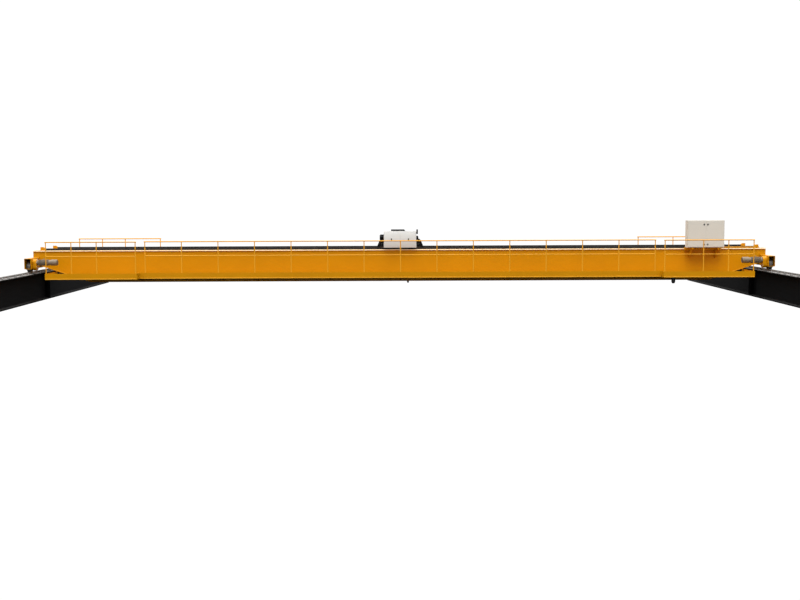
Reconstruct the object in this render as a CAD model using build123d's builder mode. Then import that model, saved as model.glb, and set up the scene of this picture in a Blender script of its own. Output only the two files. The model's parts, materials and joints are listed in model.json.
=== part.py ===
# Double girder overhead travelling crane on its two runway beams, in millimetres.
# X runs along the span, -Y is the side with the gangway, +Z is up.
# The origin lies on the underside of the runway beams, in the middle of their footprint.
import os
from math import sqrt

from build123d import *

os.makedirs("parts", exist_ok=True)

# Runway beams and their rails
span = 23650.0
bay_length = 8000.0
bay_count = 2
bay_joint = 10.0
beam_depth = 900.0
beam_width = 300.0
beam_web = 18.5
beam_flange = 35.0
beam_root_radius = 30.0
stiffener_thickness = 15.0
stiffener_inset = 60.0
stiffener_setback = 12.0
bolt_hole_radius = 13.0
bolt_pitch_x = 200.0
bolt_end_distance = 120.0
runway_rail_height = 75.0
runway_rail_head = 65.0
runway_rail_foot = 175.0
runway_rail_web = 38.0
rail_foot_edge = 10.0
rail_foot_slope = 12.0
rail_head_depth = 28.0
rail_head_slope = 4.0

# Stops at the ends of the runway
stop_inset = 150.0
stop_plate = 25.0
stop_width = 260.0
stop_rise = 310.0
stop_gusset = 20.0
buffer_length = 80.0
buffer_width = 240.0
buffer_height = 110.0
buffer_rise = 250.0
buffer_rounding = 14.0

# End carriages, their wheels and bearings
carriage_width = 210.0
carriage_length = 3650.0
carriage_bottom_rise = 95.0
carriage_top_rise = 430.0
carriage_wall = 10.0
diaphragm_hole_radius = 80.0
wheel_end_distance = 250.0
wheel_radius = 157.5
wheel_flange_height = 20.0
wheel_flange_thickness = 15.0
wheel_tread_play = 5.0
wheel_rim = 30.0
wheel_hub_radius = 58.0
wheel_disc = 30.0
wheel_side_play = 12.0
axle_radius = 30.0
running_clearance = 0.1
axle_hole_radius = 50.0
bearing_radius = 92.0
bearing_flange = 14.0
bearing_boss_radius = 64.0
bearing_depth = 42.0
wheel_slot_play = 22.0

# Travel drives
motor_rise = 133.5
motor_radius = 98.0
motor_neck = 50.0
motor_neck_radius = 78.0
motor_body_length = 320.0
motor_brake_length = 70.0
motor_brake_radius = 80.0
motor_cowl_length = 200.0
motor_cowl_chamfer = 14.0
motor_fin_count = 20
motor_fin_width = 7.0
motor_fin_depth = 15.0
motor_terminal_length = 110.0
motor_terminal_width = 96.0
motor_terminal_height = 60.0
gearbox_width = 130.0
gearbox_radius = 116.0
gearbox_chamfer = 12.0
gearbox_cover_radius = 52.0
gearbox_cover_depth = 14.0

# Girders
girder_gauge = 1400.0
girder_flange_width = 400.0
girder_top_rise = 648.0
girder_depth = 1030.0
girder_web_spread = 330.0
girder_top_flange = 25.0
girder_bottom_flange = 16.0
girder_end_plate = 12.0
girder_web = 8.0
girder_taper_length = 1640.0
girder_end_depth = 485.0

# Rails of the trolley and their stops
trolley_rail_height = 65.0
trolley_rail_head = 55.0
trolley_rail_foot = 150.0
trolley_rail_web = 30.0
trolley_rail_inset = 245.0
rail_stop_length = 150.0
rail_stop_height = 110.0
rail_stop_slant = 60.0
rail_stop_width = 90.0

# Gangway along the front girder and the four platforms at its ends
gangway_reach = 990.0
platform_reach = 1320.0
platform_length = 2880.0
platform_end_gap = 500.0
floor_drop = 142.0
floor_plate = 5.0
toe_board_drop = 232.0
toe_board_height = 190.0
toe_board_thickness = 6.0
toe_board_lip = 40.0
bracket_thickness = 10.0
bracket_root_depth = 190.0
bracket_tip_depth = 70.0
bracket_flange_gap = 15.0
hanger_width = 120.0

# Railings
rail_tube_radius = 17.0
post_tube_radius = 15.0
knee_tube_radius = 12.0
rail_overhang = 24.0
top_rail_rise = 948.0
knee_rail_rise = 500.0
post_setback = 20.0
gangway_post_inset = 205.0
gangway_post_count = 15
platform_post_inset = 30.0
platform_post_offsets = (1255.0, 2050.0)

# Control cabinet
cabinet_offset = 908.0
cabinet_width = 1200.0
cabinet_bottom_rise = 683.0
cabinet_height = 877.0
cabinet_depth = 250.0
cabinet_back_gap = 340.0
cabinet_wall = 3.0
cabinet_rim = 36.0
door_thickness = 20.0
door_inset = 22.0
door_sheet = 3.0
door_rim = 15.0
door_gap = 3.0
door_seal_gap = 0.5
hinge_radius = 8.0
hinge_pin_radius = 4.0
hinge_height = 90.0
hinge_inset = 110.0
hinge_play = 1.0
lock_radius = 16.0
lock_depth = 9.0
lock_inset = 58.0
lock_rise = 100.0
lock_drop = 135.0
cabinet_arm_width = 60.0
cabinet_arm_inset = 180.0
cabinet_arm_seat = 60.0
cabinet_beam_width = 60.0
cabinet_beam_height = 98.0
cabinet_gusset_drop = 330.0
cabinet_gusset_tip = 40.0
duct_width = 55.0
duct_height = 52.0
duct_end_gap = 20.0
duct_notch_play = 5.0
duct_branch_inset = 70.0

# Warning horn under the right platform
horn_offset = 350.0
horn_radius = 60.0
horn_drop = 432.0
horn_dome = 45.0
horn_stem_radius = 22.0
horn_setback = 200.0

# Trolley frame and wheels
trolley_wheel_radius = 100.0
trolley_wheel_base = 1160.0
trolley_axle_radius = 25.0
trolley_tread_play = 4.0
trolley_flange_height = 14.0
trolley_flange_thickness = 12.0
trolley_hub_radius = 45.0
trolley_hub_half = 50.0
truck_length = 1520.0
truck_top_length = 1330.0
truck_width = 130.0
truck_wall = 10.0
truck_lift = 22.0
truck_height = 215.0
cross_beam_place = 495.0
cross_beam_width = 90.0
cross_beam_height = 140.0
cross_beam_lift = 20.0
cross_beam_wall = 8.0

# Hoist
drum_radius = 150.0
drum_half = 435.0
drum_flange_radius = 168.0
drum_flange_width = 12.0
drum_groove_pitch = 20.0
drum_groove_depth = 3.0
drum_plain_end = 25.0
drum_shaft_radius = 32.0
drum_rise = 1005.0
hoist_plate = 15.0
hoist_plate_half = 230.0
hoist_plate_top_rise = 1185.0
tie_bar_height = 50.0
tie_bar_width = 40.0
hoist_motor_radius = 108.0
hoist_motor_body_length = 130.0
hoist_motor_cowl_length = 45.0
hoist_fin_count = 18
hoist_fin_depth = 12.0
hoist_fin_width = 8.0
hoist_gearbox_width = 105.0
hoist_gearbox_half = 185.0
hoist_gearbox_top_rise = 1063.0
hoist_gearbox_rounding = 30.0
hood_left = -300.0
hood_right = 200.0
hood_top_rise = 1278.0
hood_slant = 60.0
limit_switch_width = 50.0
limit_switch_depth = 150.0
limit_switch_bottom_rise = 1124.0
limit_switch_height = 153.0
limit_switch_setback = 48.0
limit_switch_arm_drop = 20.0
limit_switch_arm_height = 30.0
switch_box_left = -534.0
switch_box_width = 1053.0
switch_box_depth = 235.0
switch_box_bottom_rise = 708.0
switch_box_height = 531.0
switch_box_rounding = 10.0

# Sheaves, hook block and ropes
rope_radius = 6.5
rope_clearance = 0.3
hook_x = 260.0
fall_spread = 240.0
sheave_width = 30.0
sheave_groove = 16.0
sheave_groove_floor = 4.0
sheave_lip = 3.0
sheave_web = 12.0
sheave_hub_radius = 42.0
upper_sheave_rise = 766.0
sheave_pin_radius = 20.0
sheave_beam_gap = 40.0
sheave_beam_plate = 10.0
sheave_beam_height = 90.0
sheave_beam_rise = 730.0
anchor_length = 60.0
block_rise = 150.0
block_plate = 12.0
block_plate_play = 8.0
block_plate_half = 150.0
block_shoulder = 60.0
block_pin_radius = 26.0
crosshead_radius = 42.0
crosshead_drop = 240.0
hook_shank_radius = 28.0
hook_nut_radius = 36.0
hook_nut_height = 40.0
hook_bottom_drop = 500.0
hook_throat_radius = 60.0
hook_body = 82.0
hook_thickness = 60.0
hook_rounding = 20.0
hook_sweep = 276.0
hook_back_sweep = 24.0
hook_tip_chamfer = 12.0
hook_neck_radius = 38.0
hook_neck_height = 60.0

# Levels and places that follow from the sizes above
rail_top = beam_depth + runway_rail_height
runway_half = bay_count * bay_length / 2
beam_x = span / 2
stop_face = runway_half - stop_inset - stop_plate
carriage_bottom = rail_top + carriage_bottom_rise
carriage_top = rail_top + carriage_top_rise
carriage_inner = beam_x - carriage_width / 2
carriage_outer = beam_x + carriage_width / 2
wheel_z = rail_top + wheel_radius
wheel_y = carriage_length / 2 - wheel_end_distance
motor_z = wheel_z + motor_rise
girder_flat_half = carriage_inner - girder_taper_length
girder_y = girder_gauge / 2
girder_top = rail_top + girder_top_rise
girder_bottom = girder_top - girder_depth
girder_end_bottom = girder_top - girder_end_depth
web_face = girder_y + girder_web_spread / 2
flange_edge = girder_y + girder_flange_width / 2
trolley_rail_top = girder_top + trolley_rail_height
trolley_rail_half = beam_x - trolley_rail_inset
floor_top = rail_top - floor_drop
toe_board_bottom = rail_top - toe_board_drop
platform_outer = carriage_inner - platform_end_gap
platform_inner = platform_outer - platform_length
platform_post_places = [platform_inner + platform_post_inset]
platform_post_places += [platform_inner + offset for offset in platform_post_offsets]
platform_post_places += [platform_outer - platform_post_inset]
gangway_post_end = platform_inner - gangway_post_inset
gangway_edge = girder_y + gangway_reach
platform_edge = girder_y + platform_reach
cabinet_bottom = rail_top + cabinet_bottom_rise
cabinet_top = cabinet_bottom + cabinet_height
cabinet_back = -(girder_y + cabinet_back_gap)
cabinet_front = cabinet_back - cabinet_depth
cabinet_left = platform_inner + cabinet_offset
cabinet_right = cabinet_left + cabinet_width
hinge_y = cabinet_front - hinge_radius - hinge_play
trolley_wheel_z = trolley_rail_top + trolley_wheel_radius
trolley_wheel_x = trolley_wheel_base / 2
truck_bottom = trolley_rail_top + truck_lift
truck_top = truck_bottom + truck_height
truck_inner = girder_y - truck_width / 2
cross_beam_bottom = truck_bottom + cross_beam_lift
cross_beam_top = cross_beam_bottom + cross_beam_height
cross_beam_face = cross_beam_place - cross_beam_width / 2
drum_z = rail_top + drum_rise
hoist_plate_top = rail_top + hoist_plate_top_rise
hoist_gearbox_top = rail_top + hoist_gearbox_top_rise
rope_circle = drum_radius + rope_clearance + rope_radius
near_fall_x = hook_x - fall_spread / 2
far_fall_x = hook_x + fall_spread / 2
upper_sheave_z = rail_top + upper_sheave_rise
sheave_beam_bottom = rail_top + sheave_beam_rise
block_z = rail_top + block_rise
crosshead_z = block_z - crosshead_drop
hook_bottom = rail_top - hook_bottom_drop
hook_ring_z = hook_bottom + hook_throat_radius + hook_body


def front_plane(x=0.0, y=0.0, z=0.0):
    # Local x is X and local y is Z. The normal looks out of the front, along -Y.
    return Plane(origin=(x, y, z), x_dir=(1, 0, 0), z_dir=(0, -1, 0))


def side_plane(x=0.0, y=0.0, z=0.0):
    # Local x is Y and local y is Z. The normal points along +X.
    return Plane(origin=(x, y, z), x_dir=(0, 1, 0), z_dir=(1, 0, 0))


def write(piece, label):
    piece.part.label = label
    export_step(piece.part, f"parts/{label}.step")


def block(x_range, y_range, z_range, mode=Mode.ADD):
    # A square-edged block between two limits on each axis.
    ranges = (x_range, y_range, z_range)
    with Locations(tuple(sum(r) / 2 for r in ranges)):
        Box(*[abs(r[1] - r[0]) for r in ranges], mode=mode)


def outline(points, mode=Mode.ADD):
    Polygon(*points, align=None, mode=mode)


def rail_section(height, head, foot, web):
    # Half of the section from foot to head, mirrored about the web.
    outline([
        (0, 0),
        (foot / 2, 0),
        (foot / 2, rail_foot_edge),
        (web / 2, rail_foot_edge + rail_foot_slope),
        (web / 2, height - rail_head_depth - rail_head_slope),
        (head / 2, height - rail_head_depth),
        (head / 2, height),
        (0, height),
    ])
    mirror(about=Plane.YZ)


# Runway beams: rolled sections in two bays a side, stiffened and drilled at their ends
def beam_section():
    Rectangle(beam_width, beam_depth, align=(Align.CENTER, Align.MIN))
    pocket = (beam_width - beam_web) / 2
    with Locations(*[(side * (beam_web + pocket) / 2, beam_depth / 2) for side in (-1, 1)]):
        Rectangle(pocket, beam_depth - 2 * beam_flange, mode=Mode.SUBTRACT)
    roots = [v for v in vertices() if abs(abs(v.X) - beam_web / 2) < 0.01]
    fillet(roots, beam_root_radius)


def make_runway_beam(side, label):
    centre = side * beam_x
    hole_places = (centre - bolt_pitch_x / 2, centre + bolt_pitch_x / 2)
    with BuildPart() as beam:
        for bay in range(bay_count):
            start = bay * bay_length - runway_half + (bay > 0) * bay_joint / 2
            end = (bay + 1) * bay_length - runway_half - (bay < bay_count - 1) * bay_joint / 2
            with BuildSketch(front_plane(centre, start)):
                beam_section()
            extrude(amount=start - end)
            for y in (start + stiffener_inset, end - stiffener_inset):
                with Locations((centre, y, beam_depth / 2)):
                    Box(beam_width - 2 * stiffener_setback, stiffener_thickness, beam_depth - 2 * beam_flange)
            for y in (start + bolt_end_distance, end - bolt_end_distance):
                with Locations(*[(x, y, beam_flange / 2) for x in hole_places]):
                    Cylinder(bolt_hole_radius, beam_flange, mode=Mode.SUBTRACT)
    write(beam, label)


for side, word in ((-1, "left"), (1, "right")):
    make_runway_beam(side, f"runway_beam_{word}")

with BuildPart() as runway_rails:
    for side in (-1, 1):
        with BuildSketch(front_plane(side * beam_x, -stop_face, beam_depth)):
            rail_section(runway_rail_height, runway_rail_head, runway_rail_foot, runway_rail_web)
        extrude(amount=-2 * stop_face)
write(runway_rails, "runway_rails")

# Stops: a plate welded across each beam end, a gusset behind it and a rubber buffer before it
with BuildPart() as end_stops:
    for side in (-1, 1):
        for end in (-1, 1):
            block(
                (side * beam_x - stop_width / 2, side * beam_x + stop_width / 2),
                (end * stop_face, end * (stop_face + stop_plate)),
                (beam_depth, rail_top + stop_rise),
            )
            with BuildSketch(side_plane(side * beam_x)):
                outline([
                    (end * (stop_face + stop_plate), beam_depth),
                    (end * (runway_half - stop_plate), beam_depth),
                    (end * (stop_face + stop_plate), rail_top + buffer_rise),
                ])
            extrude(amount=stop_gusset / 2, both=True)
write(end_stops, "runway_end_stops")

with BuildPart() as buffers:
    for side in (-1, 1):
        for end in (-1, 1):
            with BuildSketch(front_plane(side * beam_x, end * stop_face, rail_top + buffer_rise)):
                RectangleRounded(buffer_width, buffer_height, buffer_rounding)
            extrude(amount=end * buffer_length)
write(buffers, "runway_buffers")


# End carriages: a welded box with open ends, slots for the wheels, holes for their axles and
# pierced diaphragms under the girders' webs
wheel_half_width = runway_rail_head / 2 + wheel_tread_play + wheel_flange_thickness
wheel_outer_radius = wheel_radius + wheel_flange_height


def make_end_carriage(side, label):
    centre = side * beam_x
    chord = sqrt(wheel_outer_radius**2 - (wheel_z - carriage_bottom - carriage_wall)**2)
    slot_half = chord + wheel_slot_play
    slot_width = 2 * (wheel_half_width + wheel_side_play)
    with BuildPart() as carriage:
        with BuildSketch(front_plane(centre, -carriage_length / 2, carriage_bottom)):
            Rectangle(carriage_width, carriage_top - carriage_bottom, align=(Align.CENTER, Align.MIN))
            with Locations((0, (carriage_top - carriage_bottom) / 2)):
                Rectangle(
                    carriage_width - 2 * carriage_wall,
                    carriage_top - carriage_bottom - 2 * carriage_wall,
                    mode=Mode.SUBTRACT,
                )
        extrude(amount=-carriage_length)
        for y in (-wheel_y, wheel_y):
            block(
                (centre - slot_width / 2, centre + slot_width / 2),
                (y - slot_half, y + slot_half),
                (carriage_bottom, carriage_bottom + carriage_wall),
                Mode.SUBTRACT,
            )
            with Locations(Location((centre, y, wheel_z), (0, 90, 0))):
                Cylinder(axle_hole_radius, carriage_width, mode=Mode.SUBTRACT)
        for row in (-1, 1):
            for face in (-1, 1):
                web_y = row * girder_y + face * (girder_web_spread - girder_web) / 2
                with BuildSketch(front_plane(centre, web_y, (carriage_bottom + carriage_top) / 2)):
                    Rectangle(
                        carriage_width - 2 * carriage_wall,
                        carriage_top - carriage_bottom - 2 * carriage_wall,
                    )
                    Circle(diaphragm_hole_radius, mode=Mode.SUBTRACT)
                extrude(amount=carriage_wall / 2, both=True)
    write(carriage, label)


for side, word in ((-1, "left"), (1, "right")):
    make_end_carriage(side, f"end_carriage_{word}")


def bearing_housing(x, y, outward):
    # A flanged housing turned about the wheel's axle, its flange on the carriage wall.
    with BuildSketch(front_plane(x, y, wheel_z)) as section:
        outline([
            (0, axle_radius + running_clearance),
            (outward * bearing_depth, axle_radius + running_clearance),
            (outward * bearing_depth, bearing_boss_radius),
            (outward * bearing_flange, bearing_boss_radius),
            (outward * bearing_flange, bearing_radius),
            (0, bearing_radius),
        ])
    revolve(section.sketch, axis=Axis((x, y, wheel_z), (1, 0, 0)))


# Bearings: outside every wheel, and inside the two that no drive turns
with BuildPart() as bearings:
    for side in (-1, 1):
        for y in (-wheel_y, wheel_y):
            bearing_housing(side * carriage_outer, y, side)
        bearing_housing(side * carriage_inner, wheel_y, -side)
write(bearings, "wheel_bearings")


# Wheels: rim with two flanges, disc, hub and axle, turned as one
def make_wheel(side, y, label):
    tread = runway_rail_head / 2 + wheel_tread_play
    centre = side * beam_x
    half = [
        (wheel_half_width, axle_radius),
        (wheel_half_width, wheel_hub_radius),
        (wheel_disc / 2, wheel_hub_radius),
        (wheel_disc / 2, wheel_radius - wheel_rim),
        (wheel_half_width, wheel_radius - wheel_rim),
        (wheel_half_width, wheel_outer_radius),
        (tread, wheel_outer_radius),
        (tread, wheel_radius),
    ]
    axle_end = carriage_width / 2 + bearing_depth
    points = [(axle_end, 0), (axle_end, axle_radius)] + half
    points += [(-px, pz) for px, pz in reversed(points)]
    with BuildPart() as wheel:
        with BuildSketch(front_plane(centre, y, wheel_z)):
            outline(points)
        revolve(axis=Axis((centre, y, wheel_z), (1, 0, 0)))
    write(wheel, label)


for end, row in ((-1, "front"), (1, "rear")):
    for side, word in ((-1, "left"), (1, "right")):
        make_wheel(side, end * wheel_y, f"wheel_{row}_{word}")

# Travel drives: an offset gearbox on each front wheel's axle and a finned brake motor beside it
with BuildPart() as gearboxes:
    for side in (-1, 1):
        face = side * carriage_inner
        with BuildSketch(side_plane(face, -wheel_y, (wheel_z + motor_z) / 2)):
            SlotCenterToCenter(motor_rise, 2 * gearbox_radius, rotation=90)
        extrude(amount=-side * gearbox_width)
        chamfer(faces().sort_by(Axis.X)[0 if side > 0 else -1].edges(), gearbox_chamfer)
        with Locations(Location((face - side * gearbox_width / 2, -wheel_y, wheel_z), (0, 90, 0))):
            Cylinder(axle_radius + running_clearance, gearbox_width, mode=Mode.SUBTRACT)
        with BuildSketch(side_plane(face - side * gearbox_width, -wheel_y, wheel_z)):
            Circle(gearbox_cover_radius)
        extrude(amount=-side * gearbox_cover_depth)
write(gearboxes, "travel_gearboxes")


# The lengths of a motor follow one another along X. Each function returns where its own ends.
def plain_length(x, y, z, direction, length, radius):
    with BuildSketch(side_plane(x, y, z)) as section:
        Circle(radius)
    extrude(section.sketch, amount=direction * length)
    return x + direction * length


def finned_length(x, y, z, direction, length, radius, fins, fin_width, fin_depth):
    with BuildSketch(side_plane(x, y, z)) as section:
        Circle(radius - fin_depth)
        with PolarLocations(radius - fin_depth / 2 - fin_width / 4, fins):
            Rectangle(fin_depth + fin_width / 2, fin_width)
    extrude(section.sketch, amount=direction * length)
    return x + direction * length


def fan_cowl(x, y, z, direction, length, radius):
    with BuildSketch(front_plane(x, y, z)) as section:
        outline([(direction * px, pz) for px, pz in (
            (0, 0),
            (length, 0),
            (length, radius - motor_cowl_chamfer),
            (length - motor_cowl_chamfer, radius),
            (0, radius),
        )])
    revolve(section.sketch, axis=Axis((x, y, z), (1, 0, 0)))


with BuildPart() as travel_motors:
    for side in (-1, 1):
        axis = (-wheel_y, motor_z, -side)
        neck_end = plain_length(
            side * (carriage_inner - gearbox_width), *axis, motor_neck, motor_neck_radius,
        )
        body_end = finned_length(
            neck_end, *axis, motor_body_length, motor_radius,
            motor_fin_count, motor_fin_width, motor_fin_depth,
        )
        brake_end = plain_length(body_end, *axis, motor_brake_length, motor_brake_radius)
        fan_cowl(brake_end, *axis, motor_cowl_length, motor_radius)
        middle = (neck_end + body_end) / 2
        terminal_y = -wheel_y + motor_radius
        block(
            (middle - motor_terminal_length / 2, middle + motor_terminal_length / 2),
            (terminal_y - motor_fin_depth, terminal_y + motor_terminal_height),
            (motor_z - motor_terminal_width / 2, motor_z + motor_terminal_width / 2),
        )
write(travel_motors, "travel_motors")


# Girders: welded boxes, shallower towards the carriages and stepped to rest on top of them
def girder_underside(x):
    share = (abs(x) - girder_flat_half) / (carriage_inner - girder_flat_half)
    return girder_bottom + max(share, 0) * (girder_end_bottom - girder_bottom)


def both_ends(half):
    # Points given for +X, and the same again for -X in the opposite order.
    return half + [(-x, z) for x, z in reversed(half)]


with BuildPart() as top_flanges:
    for row in (-1, 1):
        block(
            (-carriage_outer, carriage_outer),
            (row * girder_y - girder_flange_width / 2, row * girder_y + girder_flange_width / 2),
            (girder_top - girder_top_flange, girder_top),
        )
write(top_flanges, "girder_top_flanges")

with BuildPart() as bottom_flanges:
    for row in (-1, 1):
        with BuildSketch(front_plane(0, row * girder_y)):
            below = [
                (-carriage_inner, girder_end_bottom),
                (-girder_flat_half, girder_bottom),
                (girder_flat_half, girder_bottom),
                (carriage_inner, girder_end_bottom),
            ]
            outline(below + [(x, z + girder_bottom_flange) for x, z in reversed(below)])
        extrude(amount=girder_flange_width / 2, both=True)
write(bottom_flanges, "girder_bottom_flanges")

with BuildPart() as girder_webs:
    inner_end = carriage_inner - girder_end_plate
    outer_end = carriage_outer - girder_end_plate
    for row in (-1, 1):
        for face in (-1, 1):
            middle = row * girder_y + face * (girder_web_spread - girder_web) / 2
            with BuildSketch(front_plane(0, middle)):
                outline(both_ends([
                    (girder_flat_half, girder_bottom + girder_bottom_flange),
                    (inner_end, girder_underside(inner_end) + girder_bottom_flange),
                    (inner_end, carriage_top + girder_end_plate),
                    (outer_end, carriage_top + girder_end_plate),
                    (outer_end, girder_top - girder_top_flange),
                ]))
            extrude(amount=girder_web / 2, both=True)
write(girder_webs, "girder_webs")

with BuildPart() as girder_ends:
    for row in (-1, 1):
        for side in (-1, 1):
            with BuildSketch(front_plane(0, row * girder_y)):
                outline([(side * x, z) for x, z in (
                    (inner_end, girder_underside(inner_end) + girder_bottom_flange),
                    (carriage_inner, girder_end_bottom + girder_bottom_flange),
                    (carriage_inner, carriage_top),
                    (carriage_outer, carriage_top),
                    (carriage_outer, girder_top - girder_top_flange),
                    (outer_end, girder_top - girder_top_flange),
                    (outer_end, carriage_top + girder_end_plate),
                    (inner_end, carriage_top + girder_end_plate),
                )])
            extrude(amount=girder_web_spread / 2, both=True)
write(girder_ends, "girder_end_plates")

# Rails of the trolley on the top flanges, with a wedge to stop the wheels at each end
with BuildPart() as trolley_rails:
    for row in (-1, 1):
        with BuildSketch(side_plane(-trolley_rail_half, row * girder_y, girder_top)):
            rail_section(trolley_rail_height, trolley_rail_head, trolley_rail_foot, trolley_rail_web)
        extrude(amount=2 * trolley_rail_half)
write(trolley_rails, "trolley_rails")

with BuildPart() as rail_stops:
    for row in (-1, 1):
        for side in (-1, 1):
            with BuildSketch(front_plane(side * trolley_rail_half, row * girder_y, girder_top)):
                outline([(side * x, z) for x, z in (
                    (0, 0),
                    (rail_stop_length, 0),
                    (rail_stop_length, rail_stop_height),
                    (rail_stop_slant, rail_stop_height),
                    (0, trolley_rail_height),
                )])
            extrude(amount=rail_stop_width / 2, both=True)
write(rail_stops, "trolley_rail_stops")


# Walkways: a floor plate on brackets that stand out from the girder's web, or hang from its slope
def floor_plate_block(x_range, row, inner, edge):
    block(x_range, (row * inner, row * edge), (floor_top - floor_plate, floor_top))


def walkway_bracket(x, row, edge):
    under = floor_top - floor_plate
    tip = under - bracket_tip_depth
    room = under - girder_underside(x) - girder_bottom_flange - bracket_flange_gap
    if room > bracket_tip_depth:
        points = [
            (web_face, under),
            (edge, under),
            (edge, tip),
            (web_face, under - min(room, bracket_root_depth)),
        ]
    else:
        slope = girder_underside(abs(x) - bracket_thickness / 2)
        points = [
            (flange_edge - hanger_width, slope),
            (flange_edge, slope),
            (flange_edge, under),
            (edge, under),
            (edge, tip),
            (flange_edge - hanger_width, tip),
        ]
    with BuildSketch(side_plane(x)) as bracket:
        outline([(row * y, z) for y, z in points])
    extrude(bracket.sketch, amount=bracket_thickness / 2, both=True)


gangway_pitch = 2 * gangway_post_end / (gangway_post_count - 1)
gangway_posts = [-gangway_post_end + i * gangway_pitch for i in range(gangway_post_count)]

with BuildPart() as gangway_floor:
    floor_plate_block((-platform_inner, platform_inner), -1, web_face, gangway_edge)
    for x in gangway_posts:
        walkway_bracket(x, -1, gangway_edge)
write(gangway_floor, "gangway_floor")

for row, word in ((-1, "front"), (1, "rear")):
    with BuildPart() as platform_floors:
        for side in (-1, 1):
            shelf = side * girder_flat_half
            floor_plate_block((side * platform_inner, shelf), row, web_face, platform_edge)
            floor_plate_block((shelf, side * platform_outer), row, flange_edge, platform_edge)
            for x in platform_post_places:
                walkway_bracket(side * x, row, platform_edge)
    write(platform_floors, f"{word}_platform_floors")

toe_board_levels = (toe_board_bottom, toe_board_bottom + toe_board_height)
toe_lip_levels = (toe_board_bottom, toe_board_bottom + toe_board_thickness)

with BuildPart() as gangway_toe_board:
    end = platform_inner - toe_board_thickness
    block((-end, end), (-gangway_edge - toe_board_thickness, -gangway_edge), toe_board_levels)
    block((-end, end), (-gangway_edge, -gangway_edge + toe_board_lip), toe_lip_levels)
write(gangway_toe_board, "gangway_toe_board")

# Toe boards of the platforms: along the edge and back to the girder, or to the gangway's board.
# The long ones have a lip turned in below.
with BuildPart() as platform_toe_boards:
    for row, inner_reach in ((-1, gangway_edge), (1, web_face)):
        for side in (-1, 1):
            edge = row * platform_edge
            outer_edge = row * (platform_edge + toe_board_thickness)
            inner_x = side * (platform_inner - toe_board_thickness)
            outer_x = side * (platform_outer + toe_board_thickness)
            lip_edge = row * (platform_edge - toe_board_lip)
            block((inner_x, outer_x), (edge, outer_edge), toe_board_levels)
            block((inner_x, outer_x), (lip_edge, edge), toe_lip_levels)
            block((inner_x, side * platform_inner), (row * inner_reach, edge), toe_board_levels)
            block((side * platform_outer, outer_x), (row * web_face, edge), toe_board_levels)
write(platform_toe_boards, "platform_toe_boards")


# Railings: round posts on the floor, a knee rail through them and a hand rail over them
def make_railing(places, y, label):
    start, end = min(places), max(places)
    with BuildPart() as railing:
        for x in places:
            with Locations((x, y, floor_top)):
                Cylinder(
                    post_tube_radius, rail_top + top_rail_rise - floor_top,
                    align=(Align.CENTER, Align.CENTER, Align.MIN),
                )
        for radius, rise, overhang in (
            (knee_tube_radius, knee_rail_rise, 0),
            (rail_tube_radius, top_rail_rise, rail_overhang),
        ):
            with BuildSketch(side_plane(start - overhang, y, rail_top + rise)):
                Circle(radius)
            extrude(amount=end - start + 2 * overhang)
    write(railing, label)


make_railing(gangway_posts, -(gangway_edge - post_setback), "gangway_railing")
for row, word in ((-1, "front"), (1, "rear")):
    for side, hand in ((-1, "left"), (1, "right")):
        places = [side * x for x in platform_post_places]
        make_railing(places, row * (platform_edge - post_setback), f"{word}_railing_{hand}")


# Control cabinet: a sheet box with a rim round its open front, and two doors hung on the rim
def hinge_levels():
    low = cabinet_bottom + hinge_inset
    high = cabinet_top - hinge_inset - hinge_height
    return (low, high)


def door_edge(side):
    return (cabinet_left if side < 0 else cabinet_right) - side * door_inset


def hinge_x(side):
    return door_edge(side) + side * (hinge_radius + hinge_play)


with BuildPart() as cabinet_body:
    block((cabinet_left, cabinet_right), (cabinet_front, cabinet_back), (cabinet_bottom, cabinet_top))
    block(
        (cabinet_left + cabinet_wall, cabinet_right - cabinet_wall),
        (cabinet_front + cabinet_wall, cabinet_back - cabinet_wall),
        (cabinet_bottom + cabinet_wall, cabinet_top - cabinet_wall),
        Mode.SUBTRACT,
    )
    block(
        (cabinet_left + cabinet_rim, cabinet_right - cabinet_rim),
        (cabinet_front, cabinet_front + cabinet_wall),
        (cabinet_bottom + cabinet_rim, cabinet_top - cabinet_rim),
        Mode.SUBTRACT,
    )
    for side in (-1, 1):
        axis_x = hinge_x(side)
        for z in hinge_levels():
            with Locations((axis_x, hinge_y, z)):
                Cylinder(hinge_radius, hinge_height / 2, align=(Align.CENTER, Align.CENTER, Align.MIN))
                Cylinder(hinge_pin_radius, hinge_height, align=(Align.CENTER, Align.CENTER, Align.MIN))
            block(
                (axis_x, axis_x + side * hinge_radius),
                (hinge_y, cabinet_front),
                (z, z + hinge_height / 2),
            )
write(cabinet_body, "cabinet_body")


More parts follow.
